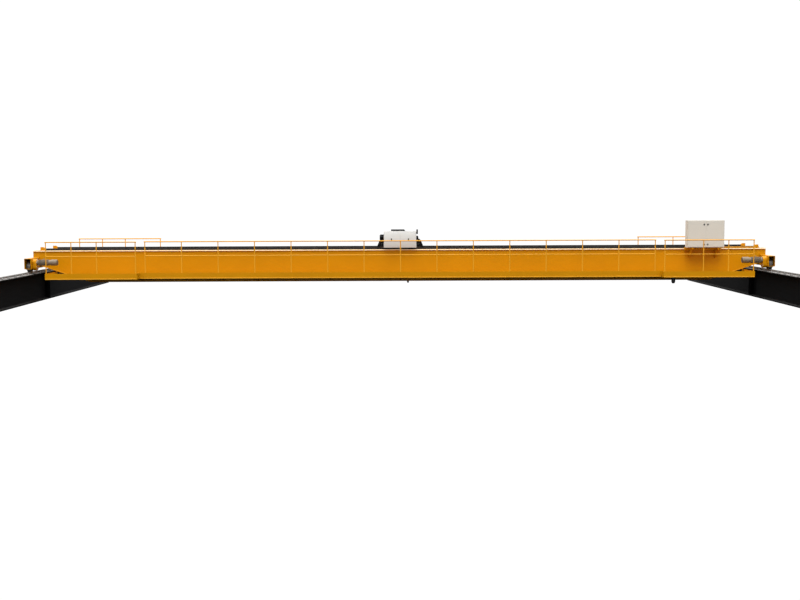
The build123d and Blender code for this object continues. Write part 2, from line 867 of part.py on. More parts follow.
def make_cabinet_door(side, label):
    edge = door_edge(side)
    middle = (cabinet_left + cabinet_right) / 2 + side * door_gap / 2
    back = cabinet_front - door_seal_gap
    front = back - door_thickness
    bottom = cabinet_bottom + door_inset
    top = cabinet_top - door_inset
    axis_x = hinge_x(side)
    with BuildPart() as door:
        block((edge, middle), (front, back), (bottom, top))
        block(
            (edge - side * door_rim, middle + side * door_rim),
            (front + door_sheet, back),
            (bottom + door_rim, top - door_rim),
            Mode.SUBTRACT,
        )
        lock_x = middle + side * lock_inset
        for z in (cabinet_bottom + lock_rise, cabinet_top - lock_drop):
            with BuildSketch(front_plane(lock_x, front, z)):
                Circle(lock_radius)
            extrude(amount=lock_depth)
        for z in hinge_levels():
            knuckle = z + hinge_height / 2 + hinge_play
            block((axis_x, edge), (hinge_y - hinge_radius, hinge_y), (knuckle, z + hinge_height))
            with Locations((axis_x, hinge_y, knuckle)):
                Cylinder(
                    hinge_radius, hinge_height / 2 - hinge_play,
                    align=(Align.CENTER, Align.CENTER, Align.MIN),
                )
                Cylinder(
                    hinge_pin_radius + running_clearance, hinge_height / 2 - hinge_play,
                    align=(Align.CENTER, Align.CENTER, Align.MIN), mode=Mode.SUBTRACT,
                )
    write(door, label)


make_cabinet_door(-1, "cabinet_door_left")
make_cabinet_door(1, "cabinet_door_right")

# Cabinet brackets: two arms on the girder's top flange, each over a gusset on its web, and a beam
# along the flange's edge with a notch for the cable duct
duct_branch = cabinet_right - duct_branch_inset

with BuildPart() as cabinet_brackets:
    block(
        (cabinet_left, cabinet_right),
        (-flange_edge - cabinet_beam_width, -flange_edge),
        (cabinet_bottom - cabinet_beam_height, cabinet_bottom),
    )
    block(
        (duct_branch - duct_width - duct_notch_play, duct_branch + duct_notch_play),
        (-flange_edge - cabinet_beam_width, -flange_edge),
        (girder_top, cabinet_bottom),
        Mode.SUBTRACT,
    )
    for x in (cabinet_left + cabinet_arm_inset, cabinet_right - cabinet_arm_inset):
        block(
            (x - cabinet_arm_width / 2, x + cabinet_arm_width / 2),
            (cabinet_front, -flange_edge + cabinet_arm_seat),
            (girder_top, cabinet_bottom),
        )
        with BuildSketch(side_plane(x)):
            outline([
                (-flange_edge, girder_top),
                (cabinet_front, girder_top),
                (cabinet_front, girder_top - cabinet_gusset_tip),
                (-web_face, girder_top - cabinet_gusset_drop),
                (-web_face, girder_top - girder_top_flange),
                (-flange_edge, girder_top - girder_top_flange),
            ])
        extrude(amount=bracket_thickness / 2, both=True)
write(cabinet_brackets, "cabinet_brackets")

# Cable duct along the flange from the cabinet to the right end carriage
with BuildPart() as cable_duct:
    duct_end = carriage_inner - duct_end_gap
    levels = (girder_top, girder_top + duct_height)
    block((duct_branch - duct_width, duct_end), (-flange_edge, -flange_edge + duct_width), levels)
    block((duct_branch - duct_width, duct_branch), (cabinet_back, -flange_edge), levels)
write(cable_duct, "cable_duct")

# Warning horn hung from the right platform's floor
with BuildPart() as horn:
    horn_x = platform_inner + horn_offset
    horn_y = -(platform_edge - horn_setback)
    horn_bottom = rail_top - horn_drop
    horn_top = toe_board_bottom
    with BuildSketch(front_plane(horn_x, horn_y)) as section:
        outline([
            (0, floor_top - floor_plate),
            (horn_stem_radius, floor_top - floor_plate),
            (horn_stem_radius, horn_top),
            (horn_radius, horn_top),
            (horn_radius, horn_bottom + horn_dome),
            (horn_radius - horn_dome / 2, horn_bottom),
            (0, horn_bottom),
        ])
    revolve(axis=Axis((horn_x, horn_y, 0), (0, 0, 1)))
write(horn, "warning_horn")


# Trolley trucks: channels with sloped ends, open below, one over each rail
def make_truck(row, label):
    bottom_half, top_half = truck_length / 2, truck_top_length / 2
    with BuildPart() as truck:
        with BuildSketch(front_plane(0, row * girder_y)):
            outline(both_ends([(bottom_half, truck_bottom), (top_half, truck_top)]))
        extrude(amount=truck_width / 2, both=True)
        with BuildSketch(front_plane(0, row * girder_y)):
            outline(both_ends([
                (bottom_half - truck_wall, truck_bottom),
                (top_half - truck_wall, truck_top - truck_wall),
            ]))
        extrude(amount=truck_width / 2 - truck_wall, both=True, mode=Mode.SUBTRACT)
        for x in (-trolley_wheel_x, trolley_wheel_x):
            with Locations(Location((x, row * girder_y, trolley_wheel_z), (90, 0, 0))):
                Cylinder(trolley_axle_radius + running_clearance, truck_width, mode=Mode.SUBTRACT)
    write(truck, label)


for row, word in ((-1, "front"), (1, "rear")):
    make_truck(row, f"trolley_truck_{word}")


# Wheelsets: two flanged wheels on one axle
def make_wheelset(x, label):
    tread = trolley_rail_head / 2 + trolley_tread_play
    rim = tread + trolley_flange_thickness
    outer = trolley_wheel_radius + trolley_flange_height
    profile = [
        (girder_y - trolley_hub_half, trolley_axle_radius),
        (girder_y - trolley_hub_half, trolley_hub_radius),
        (girder_y - rim, trolley_hub_radius),
        (girder_y - rim, outer),
        (girder_y - tread, outer),
        (girder_y - tread, trolley_wheel_radius),
    ]
    profile += [(2 * girder_y - y, z) for y, z in reversed(profile)]
    axle_end = girder_y + truck_width / 2
    profile += [(axle_end, trolley_axle_radius), (axle_end, 0)]
    with BuildPart() as wheelset:
        with BuildSketch(side_plane(x, 0, trolley_wheel_z)):
            outline([(-y, z) for y, z in reversed(profile)] + profile)
        revolve(axis=Axis((x, 0, trolley_wheel_z), (0, 1, 0)))
    write(wheelset, label)


for side, word in ((-1, "left"), (1, "right")):
    make_wheelset(side * trolley_wheel_x, f"trolley_wheelset_{word}")

# Cross frame: two hollow beams between the trucks, and plate beams that carry sheave and rope end
with BuildPart() as cross_frame:
    for side in (-1, 1):
        with BuildSketch(front_plane(side * cross_beam_place, -truck_inner, cross_beam_bottom)):
            Rectangle(cross_beam_width, cross_beam_height, align=(Align.CENTER, Align.MIN))
            with Locations((0, cross_beam_height / 2)):
                Rectangle(
                    cross_beam_width - 2 * cross_beam_wall,
                    cross_beam_height - 2 * cross_beam_wall,
                    mode=Mode.SUBTRACT,
                )
        extrude(amount=-2 * truck_inner)
    for row in (-1, 1):
        for face in (-1, 1):
            near = row * rope_circle + face * sheave_beam_gap / 2
            block(
                (-cross_beam_face, cross_beam_face),
                (near, near + face * sheave_beam_plate),
                (sheave_beam_bottom, sheave_beam_bottom + sheave_beam_height),
            )
    block(
        (far_fall_x - sheave_width / 2, far_fall_x + sheave_width / 2),
        (-rope_circle - sheave_beam_gap / 2, -rope_circle + sheave_beam_gap / 2),
        (sheave_beam_bottom, sheave_beam_bottom + anchor_length),
    )
    with Locations(Location((hook_x, rope_circle, upper_sheave_z), (90, 0, 0))):
        Cylinder(sheave_pin_radius, sheave_beam_gap)
write(cross_frame, "trolley_cross_frame")


def sheave(plane, axis, groove_radius, bore):
    # A grooved rim on a thin web, turned about its pin.
    half = [
        (sheave_width / 2, bore),
        (sheave_width / 2, sheave_hub_radius),
        (sheave_web / 2, sheave_hub_radius),
        (sheave_web / 2, groove_radius - sheave_groove / 2),
        (sheave_width / 2, groove_radius - sheave_groove / 2),
        (sheave_width / 2, groove_radius + sheave_groove),
        (sheave_width / 2 - sheave_lip, groove_radius + sheave_groove),
        (sheave_groove_floor, groove_radius),
    ]
    with BuildSketch(plane) as section:
        outline(half + [(-x, z) for x, z in reversed(half)])
    revolve(section.sketch, axis=axis)


with BuildPart() as upper_sheave:
    sheave(
        side_plane(hook_x, rope_circle, upper_sheave_z),
        Axis((hook_x, rope_circle, upper_sheave_z), (0, 1, 0)),
        fall_spread / 2 - rope_radius - rope_clearance,
        sheave_pin_radius + running_clearance,
    )
write(upper_sheave, "upper_sheave")

# Hoist frame: an end plate on each cross beam, tied together over the drum
with BuildPart() as hoist_frame:
    for side in (-1, 1):
        with BuildSketch(side_plane(side * cross_beam_place)):
            outline([
                (-hoist_plate_half, cross_beam_top),
                (hoist_plate_half, cross_beam_top),
                (hoist_plate_half, hoist_plate_top),
                (-hoist_plate_half, hoist_plate_top),
            ])
            with Locations((0, drum_z)):
                Circle(drum_shaft_radius + running_clearance, mode=Mode.SUBTRACT)
        extrude(amount=-side * hoist_plate)
    for row in (-1, 1):
        block(
            (-cross_beam_place + hoist_plate, cross_beam_place - hoist_plate),
            (row * hoist_plate_half, row * (hoist_plate_half - tie_bar_width)),
            (hoist_plate_top - tie_bar_height, hoist_plate_top),
        )
write(hoist_frame, "hoist_frame")

# Drum: grooves for the rope between two flanges. One of them lies over the rope's first fall.
groove_steps = int(2 * drum_half / drum_groove_pitch)
groove_places = [near_fall_x + step * drum_groove_pitch for step in range(-groove_steps, groove_steps + 1)]
groove_places = [x for x in groove_places if abs(x) < drum_half - drum_plain_end]
land_radius = drum_radius + drum_groove_depth

with BuildPart() as drum:
    drum_end = [
        (cross_beam_place, 0),
        (cross_beam_place, drum_shaft_radius),
        (drum_half + drum_flange_width, drum_shaft_radius),
        (drum_half + drum_flange_width, drum_flange_radius),
        (drum_half, drum_flange_radius),
        (drum_half, land_radius),
    ]
    grooves = []
    for x in reversed(groove_places):
        grooves += [(x + drum_groove_pitch / 2, land_radius), (x, drum_radius)]
    grooves.append((groove_places[0] - drum_groove_pitch / 2, land_radius))
    with BuildSketch(front_plane(0, 0, drum_z)):
        outline(drum_end + grooves + [(-x, z) for x, z in reversed(drum_end)])
    revolve(axis=Axis((0, 0, drum_z), (1, 0, 0)))
write(drum, "hoist_drum")

with BuildPart() as hoist_motor:
    body_end = finned_length(
        -cross_beam_place, 0, drum_z, -1, hoist_motor_body_length, hoist_motor_radius,
        hoist_fin_count, hoist_fin_width, hoist_fin_depth,
    )
    fan_cowl(body_end, 0, drum_z, -1, hoist_motor_cowl_length, hoist_motor_radius)
write(hoist_motor, "hoist_motor")

with BuildPart() as hoist_gearbox:
    with BuildSketch(side_plane(cross_beam_place, 0, (cross_beam_top + hoist_gearbox_top) / 2)):
        RectangleRounded(2 * hoist_gearbox_half, hoist_gearbox_top - cross_beam_top, hoist_gearbox_rounding)
    extrude(amount=hoist_gearbox_width)
write(hoist_gearbox, "hoist_gearbox")

# Limit switch on an arm that stands out from the hoist's end plate
with BuildPart() as limit_switch:
    left = cross_beam_place + limit_switch_setback
    switch_bottom = rail_top + limit_switch_bottom_rise
    arm_top = hoist_plate_top - limit_switch_arm_drop
    block(
        (left, left + limit_switch_width),
        (-limit_switch_depth / 2, limit_switch_depth / 2),
        (switch_bottom, switch_bottom + limit_switch_height),
    )
    block(
        (cross_beam_place, left),
        (-limit_switch_depth / 2, limit_switch_depth / 2),
        (arm_top - limit_switch_arm_height, arm_top),
    )
write(limit_switch, "hoist_limit_switch")

with BuildPart() as hood:
    hood_top = rail_top + hood_top_rise
    with BuildSketch(front_plane(0, 0)):
        outline([
            (hood_left, hoist_plate_top),
            (hood_right, hoist_plate_top),
            (hood_right - hood_slant, hood_top),
            (hood_left, hood_top),
        ])
    extrude(amount=hoist_plate_half, both=True)
write(hood, "hoist_hood")

with BuildPart() as switch_box:
    box_bottom = rail_top + switch_box_bottom_rise
    box_back = -(girder_y + truck_width / 2)
    block(
        (switch_box_left, switch_box_left + switch_box_width),
        (box_back - switch_box_depth, box_back),
        (box_bottom, box_bottom + switch_box_height),
    )
    fillet(edges().filter_by(Axis.Z), switch_box_rounding)
write(switch_box, "trolley_switch_box")

# Hook block: two side plates, two sheaves on a pin and the crosshead that holds the hook
block_half = fall_spread / 2 + sheave_width / 2 + block_plate_play + block_plate
with BuildPart() as hook_block:
    for side in (-1, 1):
        with BuildSketch(side_plane(hook_x + side * block_half, 0)):
            outline([
                (-block_plate_half, block_z + block_shoulder),
                (block_plate_half, block_z + block_shoulder),
                (block_plate_half, block_z - block_shoulder),
                (block_plate_half / 2, crosshead_z - block_shoulder),
                (-block_plate_half / 2, crosshead_z - block_shoulder),
                (-block_plate_half, block_z - block_shoulder),
            ])
        extrude(amount=-side * block_plate)
    plate_gap = 2 * (block_half - block_plate)
    with Locations(Location((hook_x, 0, block_z), (0, 90, 0))):
        Cylinder(block_pin_radius, plate_gap)
    with Locations(Location((hook_x, 0, crosshead_z), (0, 90, 0))):
        Cylinder(crosshead_radius, plate_gap)
    with Locations((hook_x, 0, crosshead_z)):
        Cylinder(hook_shank_radius + running_clearance, 2 * crosshead_radius, mode=Mode.SUBTRACT)
write(hook_block, "hook_block")

with BuildPart() as block_sheaves:
    for side in (-1, 1):
        x = hook_x + side * fall_spread / 2
        sheave(
            front_plane(x, 0, block_z),
            Axis((x, 0, block_z), (1, 0, 0)),
            drum_radius,
            block_pin_radius + running_clearance,
        )
write(block_sheaves, "block_sheaves")

# Hook: a forged bow of rounded section, open at the mouth, with a neck and a shank through the
# crosshead and a nut over it
with BuildPart() as hook:
    outer = hook_throat_radius + hook_body
    neck_bottom = hook_ring_z + outer - hook_neck_height / 3
    bow_axis = Axis((hook_x, 0, hook_ring_z), (-1, 0, 0))
    for turn in (hook_sweep, -hook_back_sweep):
        with BuildSketch(front_plane(hook_x, 0, hook_ring_z + outer - hook_body / 2)):
            RectangleRounded(hook_thickness, hook_body, hook_rounding)
        revolve(axis=bow_axis, revolution_arc=turn)
    tip = faces().filter_by(GeomType.PLANE).sort_by(Axis.Y)[0]
    chamfer(tip.edges(), hook_tip_chamfer)
    with Locations((hook_x, 0, neck_bottom)):
        Cone(
            hook_neck_radius, hook_shank_radius, hook_neck_height,
            align=(Align.CENTER, Align.CENTER, Align.MIN),
        )
        Cylinder(
            hook_shank_radius, crosshead_z + crosshead_radius - neck_bottom,
            align=(Align.CENTER, Align.CENTER, Align.MIN),
        )
    with Locations((hook_x, 0, crosshead_z + crosshead_radius + rope_clearance)):
        Cylinder(hook_nut_radius, hook_nut_height, align=(Align.CENTER, Align.CENTER, Align.MIN))
    with Locations((hook_x, 0, crosshead_z + crosshead_radius)):
        Cylinder(hook_shank_radius, hook_nut_height, align=(Align.CENTER, Align.CENTER, Align.MIN))
write(hook, "hook")

# Ropes: four falls between the hook block and the trolley
with BuildPart() as ropes:
    falls = (
        (near_fall_x, -rope_circle, drum_z),
        (near_fall_x, rope_circle, upper_sheave_z),
        (far_fall_x, rope_circle, upper_sheave_z),
        (far_fall_x, -rope_circle, sheave_beam_bottom - rope_clearance),
    )
    for x, y, top in falls:
        with Locations((x, y, block_z)):
            Cylinder(rope_radius, top - block_z, align=(Align.CENTER, Align.CENTER, Align.MIN))
write(ropes, "hoist_ropes")
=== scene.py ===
"""Looks of a double girder overhead crane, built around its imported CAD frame."""
import json
import math

import bmesh
import bpy
from bpy.props import FloatProperty, FloatVectorProperty, PointerProperty
from bpy.types import Operator, Panel, PropertyGroup
from mathutils import Euler, Matrix, Vector


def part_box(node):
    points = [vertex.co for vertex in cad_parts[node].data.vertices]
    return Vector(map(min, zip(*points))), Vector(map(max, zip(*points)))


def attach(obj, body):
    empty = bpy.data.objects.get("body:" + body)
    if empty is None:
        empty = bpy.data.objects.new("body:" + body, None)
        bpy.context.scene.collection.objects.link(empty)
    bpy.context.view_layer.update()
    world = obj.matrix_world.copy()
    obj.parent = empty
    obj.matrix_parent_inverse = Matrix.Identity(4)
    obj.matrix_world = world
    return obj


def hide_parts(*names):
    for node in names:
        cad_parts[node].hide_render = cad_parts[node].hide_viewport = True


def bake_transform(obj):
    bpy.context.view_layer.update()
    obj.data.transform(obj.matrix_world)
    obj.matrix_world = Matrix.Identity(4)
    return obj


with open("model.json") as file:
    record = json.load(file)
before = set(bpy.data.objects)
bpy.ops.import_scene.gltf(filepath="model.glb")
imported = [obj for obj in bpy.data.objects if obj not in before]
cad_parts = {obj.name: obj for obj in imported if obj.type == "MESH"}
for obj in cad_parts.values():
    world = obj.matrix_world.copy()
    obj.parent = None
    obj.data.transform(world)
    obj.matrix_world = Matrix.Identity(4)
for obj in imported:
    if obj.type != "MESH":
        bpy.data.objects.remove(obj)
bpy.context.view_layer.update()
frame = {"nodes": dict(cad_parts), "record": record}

bl_info = {
    "name": "Overhead crane",
    "version": (1, 0, 0),
    "blender": (4, 5, 0),
    "location": "3D View > Sidebar > Crane",
    "description": "Finishes, fittings and stage of a double girder overhead crane",
    "category": "Object",
}

MM = 0.001
NODES = frame["nodes"]
FINISHES = {}

# Depth of the grooves between a rope's strands, as a share of its radius
STRAND_GROOVE = 0.16
# Length of one step along the rope falls, short enough for the twist of the strands
ROPE_STEP = 0.008
# Half the width of a runway rail's foot
RAIL_FOOT_HALF = 0.0875
# Offsets from the middle of a rail: a clip's inner edge, its shoulder, its bolt and its outer edge
CLIP_OFFSETS = (0.070, 0.092, 0.114, 0.138)
# Length of the sloping end of a girder's underside
GIRDER_TAPER = 1.640
# Where the sides of the two box girders lie across the bridge
GIRDER_SIDES = (-0.865, -0.535, 0.535, 0.865)
# Steps from the inner end of a platform railing to its posts
PLATFORM_POSTS = (0.0, 1.225, 2.020, 2.820)
# Half the side of the square floor, and how far the camera sees
FLOOR_HALF = 4000.0
CAMERA_REACH = 10000.0


def srgb(hex_colour):
    """Linear RGB of an sRGB hex value such as "E39316"."""
    channels = [int(hex_colour[i:i + 2], 16) / 255 for i in (0, 2, 4)]
    return tuple(c / 12.92 if c <= 0.04045 else ((c + 0.055) / 1.055) ** 2.4 for c in channels)


def colour(name, hex_colour, description):
    """A colour setting with an sRGB hex value as its default."""
    return FloatVectorProperty(
        name=name, description=description, subtype="COLOR", size=3, min=0, max=1, default=srgb(hex_colour)
    )


def length(name, metres, description):
    """A length setting in metres."""
    return FloatProperty(name=name, description=description, unit="LENGTH", default=metres, precision=4)


class CraneColours(PropertyGroup):
    """Colours of the crane's finishes"""

    crane: colour("Crane enamel", "B57A00", "Yellow-orange enamel of girders, carriages and gearboxes")
    # The railing enamel is a lighter copy of the crane enamel: painted light on the thin railings and the toe
    # board lips.
    railing: colour("Railing enamel", "CC9022", "Lighter yellow enamel of the railings")
    runway: colour("Runway paint", "050506", "Black paint of the runway beams")
    drive: colour("Drive enamel", "75695A", "Warm grey enamel of the travel motors")
    cabinet: colour("Cabinet coat", "BFBAB0", "Light grey powder coat of the control cabinet")
    switch_box: colour("Switch box coat", "C6C6C3", "White powder coat of the trolley's switch box")
    hoist: colour("Hoist enamel", "0C0C0D", "Black enamel of the trolley and the hoist")


class FittingSizes(PropertyGroup):
    """Sizes of the small fittings"""

    clip_spacing: length("Rail clip spacing", 0.600, "Distance between the clips along a runway rail")
    clip_bolt: length("Clip bolt", 0.030, "Width across flats of the bolt in a rail clip")
    bearing_bolt: length("Bearing bolt", 0.018, "Width across flats of the bolts round a wheel bearing")
    cover_screw: length("Cover screw", 0.013, "Width across flats of the screws in lids and covers")
    post_foot: length("Post foot", 0.080, "Width of the plate under a railing post")
    weld_leg: length("Weld leg", 0.006, "Radius of the weld beads along the girders")
    rope_lay: length("Rope lay", 0.080, "Length in which a strand turns once round the rope")


class StageSettings(PropertyGroup):
    """Camera and floor"""

    camera_place: FloatVectorProperty(
        name="Camera place", description="Where the camera stands", subtype="TRANSLATION", unit="LENGTH",
        default=(-0.30, -38.4, 3.013),
    )
    camera_turn: FloatVectorProperty(
        name="Camera turn", description="Pitch from straight down, roll and yaw of the camera",
        subtype="EULER",
        default=(math.radians(90 - 4.64), math.radians(0.20), math.radians(-0.45)),
    )
    lens: FloatProperty(
        name="Lens", description="Focal length in millimetres on a 36 mm sensor", default=51.84
    )
    floor_depth: length("Floor depth", 6.6, "How far the shop floor lies below the runway beams")


# Materials


def add(tree, kind, sockets=None, **settings):
    """Adds a node with its settings, and sets or links its named sockets."""
    node = tree.nodes.new(kind)
    for name, value in settings.items():
        setattr(node, name, value)
    for name, value in (sockets or {}).items():
        if isinstance(value, bpy.types.NodeSocket):
            tree.links.new(value, node.inputs[name])
        else:
            node.inputs[name].default_value = value
    return node


def start_material(name):
    """A material with its shader, and the place on the surface in metres."""
    material = bpy.data.materials.new(name)
    material.use_nodes = True
    tree = material.node_tree
    shader = tree.nodes["Principled BSDF"]
    place = add(tree, "ShaderNodeTexCoord").outputs["Object"]
    return material, tree, shader, place


def shades(tree, factor, base, darker, lighter):
    """A colour that varies round base from darker to lighter times its strength."""
    ramp = add(tree, "ShaderNodeValToRGB", {"Fac": factor})
    for stop, position, share in zip(ramp.color_ramp.elements, (0.3, 0.7), (darker, lighter)):
        stop.position = position
        stop.color = tuple(min(c * share, 1) for c in base) + (1,)
    return ramp.outputs["Color"]


def noise(tree, place, scale, detail, roughness=0.5):
    """A cloudy pattern with about scale patches to the metre."""
    texture = add(tree, "ShaderNodeTexNoise", {
        "Vector": place, "Scale": scale, "Detail": detail, "Roughness": roughness,
    })
    return texture.outputs["Fac"]


def remap(tree, value, start, end, low=0.0, high=1.0):
    """Turns a value's range from start to end into one from low to high."""
    return add(tree, "ShaderNodeMapRange", {
        "Value": value, "From Min": start, "From Max": end, "To Min": low, "To Max": high,
    }).outputs["Result"]


def mix(tree, factor, first, second):
    """One colour where factor is 0 and another where it is 1."""
    sockets = {"Factor": factor, "A": first, "B": second}
    return add(tree, "ShaderNodeMix", sockets, data_type="RGBA").outputs[2]


def upward(tree):
    """How far the surface faces up: 1 on a level top, 0 on a wall."""
    normal = add(tree, "ShaderNodeNewGeometry").outputs["Normal"]
    return add(tree, "ShaderNodeSeparateXYZ", {"Vector": normal}).outputs["Z"]


def level(tree, place):
    """The upward part of a place or a direction."""
    return add(tree, "ShaderNodeSeparateXYZ", {"Vector": place}).outputs["Z"]


def emboss(tree, shader, height, strength, depth):
    """Raises the surface's relief by the pattern of height."""
    bump = add(tree, "ShaderNodeBump", {"Height": height, "Strength": strength, "Distance": depth})
    tree.links.new(bump.outputs["Normal"], shader.inputs["Normal"])
    return bump


def sprayed_enamel(name, base, roughness, peel_mm=6.0, dust=0.10):
    """Two-pack enamel sprayed on plate: a faint orange peel in the gloss, with dust on what faces up."""
    material, tree, shader, place = start_material(name)
    tone = shades(tree, noise(tree, place, 0.9, 5.0, 0.6), base, 0.94, 1.05)
    grime = noise(tree, place, 4.0, 8.0, 0.7)
    lying = remap(tree, upward(tree), 0.5, 1.0, 0.0, dust)
    amount = add(tree, "ShaderNodeMath", {0: lying, 1: grime}, operation="MULTIPLY")
    dusty = mix(tree, amount.outputs["Value"], tone, srgb("8C8478") + (1,))
    tree.links.new(dusty, shader.inputs["Base Color"])
    uneven = remap(tree, grime, 0.0, 1.0, roughness - 0.05, roughness + 0.08)
    tree.links.new(uneven, shader.inputs["Roughness"])
    emboss(tree, shader, noise(tree, place, 1 / (peel_mm * MM), 1.0), 0.04, 0.4 * MM)
    shader.inputs["IOR"].default_value = 1.5
    shader.inputs["Specular IOR Level"].default_value = 0.1
    return material


def enamel_with_painted_highlight_edges(name, base, edge):
    """Two-pack enamel on a flange: a painted highlight turns the plate's upright cut edges pale cream, the
    rest is as sprayed.
    """
    material = sprayed_enamel(name, base, 0.42)
    tree = material.node_tree
    shader = tree.nodes["Principled BSDF"]
    tone = shader.inputs["Base Color"].links[0].from_socket
    # Painted highlight: upright faces, the flange's cut edges, are mixed towards the pale cream edge colour.
    flat = add(tree, "ShaderNodeMath", {0: upward(tree)}, operation="ABSOLUTE")
    worn = remap(tree, flat.outputs["Value"], 0.8, 0.3)
    tree.links.new(mix(tree, worn, tone, edge + (1,)), shader.inputs["Base Color"])
    return material


def rolled_steel_black(name, base):
    """Bitumen-black paint on rolled sections: thin, streaky and dull; upward faces are pale grey, partly dust
    and partly a painted reflection, with painted shade low down.
    """
    material, tree, shader, place = start_material(name)
    drawn_out = add(tree, "ShaderNodeMapping", {"Vector": place, "Scale": (6.0, 0.4, 6.0)})
    streaks = noise(tree, drawn_out.outputs["Vector"], 3.0, 7.0, 0.65)
    tone = shades(tree, streaks, base, 0.75, 1.35)
    # Pale grey on upward faces: partly dust, partly a painted reflection of the roof light.
    lying = remap(tree, upward(tree), 0.6, 0.9)
    # Painted shade: low on the beam, on the bottom flange, the pale grey falls to an eighth.
    painted_shade_by_height = remap(tree, level(tree, place), 0.4, 0.7, 0.12, 1.0)
    dust_and_painted_light = add(tree, "ShaderNodeMath", {0: lying, 1: painted_shade_by_height}, operation="MULTIPLY")
    dusty = mix(tree, dust_and_painted_light.outputs["Value"], tone, srgb("6A6866") + (1,))
    tree.links.new(dusty, shader.inputs["Base Color"])
    tree.links.new(remap(tree, streaks, 0.0, 1.0, 0.62, 0.8), shader.inputs["Roughness"])
    emboss(tree, shader, noise(tree, place, 1 / (9 * MM), 3.0), 0.12, 0.5 * MM)
    shader.inputs["IOR"].default_value = 1.5
    shader.inputs["Specular IOR Level"].default_value = 0.05
    return material


def rolled_rail_steel(name, worn, foot, head_at):
    """Rolled rail: brown-black mill scale below, and a head that the wheels have rubbed smooth."""
    material, tree, shader, place = start_material(name)
    head = remap(tree, level(tree, place), head_at - 3 * MM, head_at)
    patches = noise(tree, place, 25.0, 8.0, 0.7)
    scale_tone = shades(tree, patches, foot, 0.7, 1.4)
    tree.links.new(mix(tree, head, scale_tone, worn + (1,)), shader.inputs["Base Color"])
    tree.links.new(remap(tree, head, 0.0, 1.0, 0.7, 0.5), shader.inputs["Roughness"])
    tree.links.new(head, shader.inputs["Metallic"])
    emboss(tree, shader, patches, 0.2, 0.5 * MM)
    return material


def cast_iron(name, base):
    """Cast iron from a sand mould: grey-brown, grainy and dull."""
    material, tree, shader, place = start_material(name)
    grain = noise(tree, place, 1 / (4 * MM), 6.0)
    tree.links.new(shades(tree, grain, base, 0.7, 1.35), shader.inputs["Base Color"])
    emboss(tree, shader, grain, 0.25, 0.6 * MM)
    shader.inputs["Roughness"].default_value = 0.55
    shader.inputs["Metallic"].default_value = 0.6
    return material


def turned_steel(name, base):
    """Turned and greased steel: dark, smooth, with rings from the lathe drawn coarser than the real ones."""
    material, tree, shader, place = start_material(name)
    rings = add(tree, "ShaderNodeTexWave", {
        "Vector": place, "Scale": 1 / (60 * MM), "Distortion": 0.4, "Detail": 2.0,
    }, wave_type="BANDS", bands_direction="X")
    tree.links.new(shades(tree, rings.outputs["Fac"], base, 0.8, 1.2), shader.inputs["Base Color"])
    shader.inputs["Metallic"].default_value = 1.0
    shader.inputs["Roughness"].default_value = 0.38
    return material


def moulded_rubber(name, base):
    """Moulded rubber: near black, dull, with a dusty bloom."""
    material, tree, shader, place = start_material(name)
    bloom = noise(tree, place, 18.0, 6.0)
    tree.links.new(shades(tree, bloom, base, 0.8, 1.6), shader.inputs["Base Color"])
    shader.inputs["Roughness"].default_value = 0.8
    shader.inputs["IOR"].default_value = 1.5
    return material


def moulded_black_abs(name, base):
    """Moulded ABS: black with a spark-eroded grain, drawn coarser than the real one."""
    material, tree, shader, place = start_material(name)
    grain = add(tree, "ShaderNodeTexVoronoi", {"Vector": place, "Scale": 1 / (3 * MM)}).outputs["Distance"]
    tree.links.new(shades(tree, grain, base, 0.85, 1.3), shader.inputs["Base Color"])
    emboss(tree, shader, grain, 0.1, 0.2 * MM)
    shader.inputs["Roughness"].default_value = 0.45
    shader.inputs["IOR"].default_value = 1.53
    return material


def sprayed_chequer_plate(name, base):
    """Enamel on rolled chequer plate: raised bars in rows at a slant, 30 mm apart, in a cloudy uneven tone.
    """
    material, tree, shader, place = start_material(name)
    slant = add(tree, "ShaderNodeMapping", {"Vector": place, "Rotation": (0.0, 0.0, math.radians(45))})
    bars = add(tree, "ShaderNodeTexBrick", {
        "Vector": slant.outputs["Vector"], "Scale": 1.0, "Mortar Size": 5 * MM, "Mortar Smooth": 0.6,
        "Brick Width": 30 * MM, "Row Height": 15 * MM,
    })
    wear = noise(tree, place, 3.0, 7.0, 0.7)
    tree.links.new(shades(tree, wear, base, 0.85, 1.15), shader.inputs["Base Color"])
    emboss(tree, shader, bars.outputs["Fac"], 0.6, 2 * MM).invert = True
    shader.inputs["Roughness"].default_value = 0.5
    shader.inputs["Specular IOR Level"].default_value = 0.1
    return material


def zinc_plated_steel(name, base):
    """Zinc-plated steel: pale grey, half bright, with the spangle of handled fasteners."""
    material, tree, shader, place = start_material(name)
    spangle = add(tree, "ShaderNodeTexVoronoi", {"Vector": place, "Scale": 1 / (6 * MM)})
    tree.links.new(shades(tree, spangle.outputs["Distance"], base, 0.8, 1.1), shader.inputs["Base Color"])
    shader.inputs["Metallic"].default_value = 1.0
    shader.inputs["Roughness"].default_value = 0.45
    return material


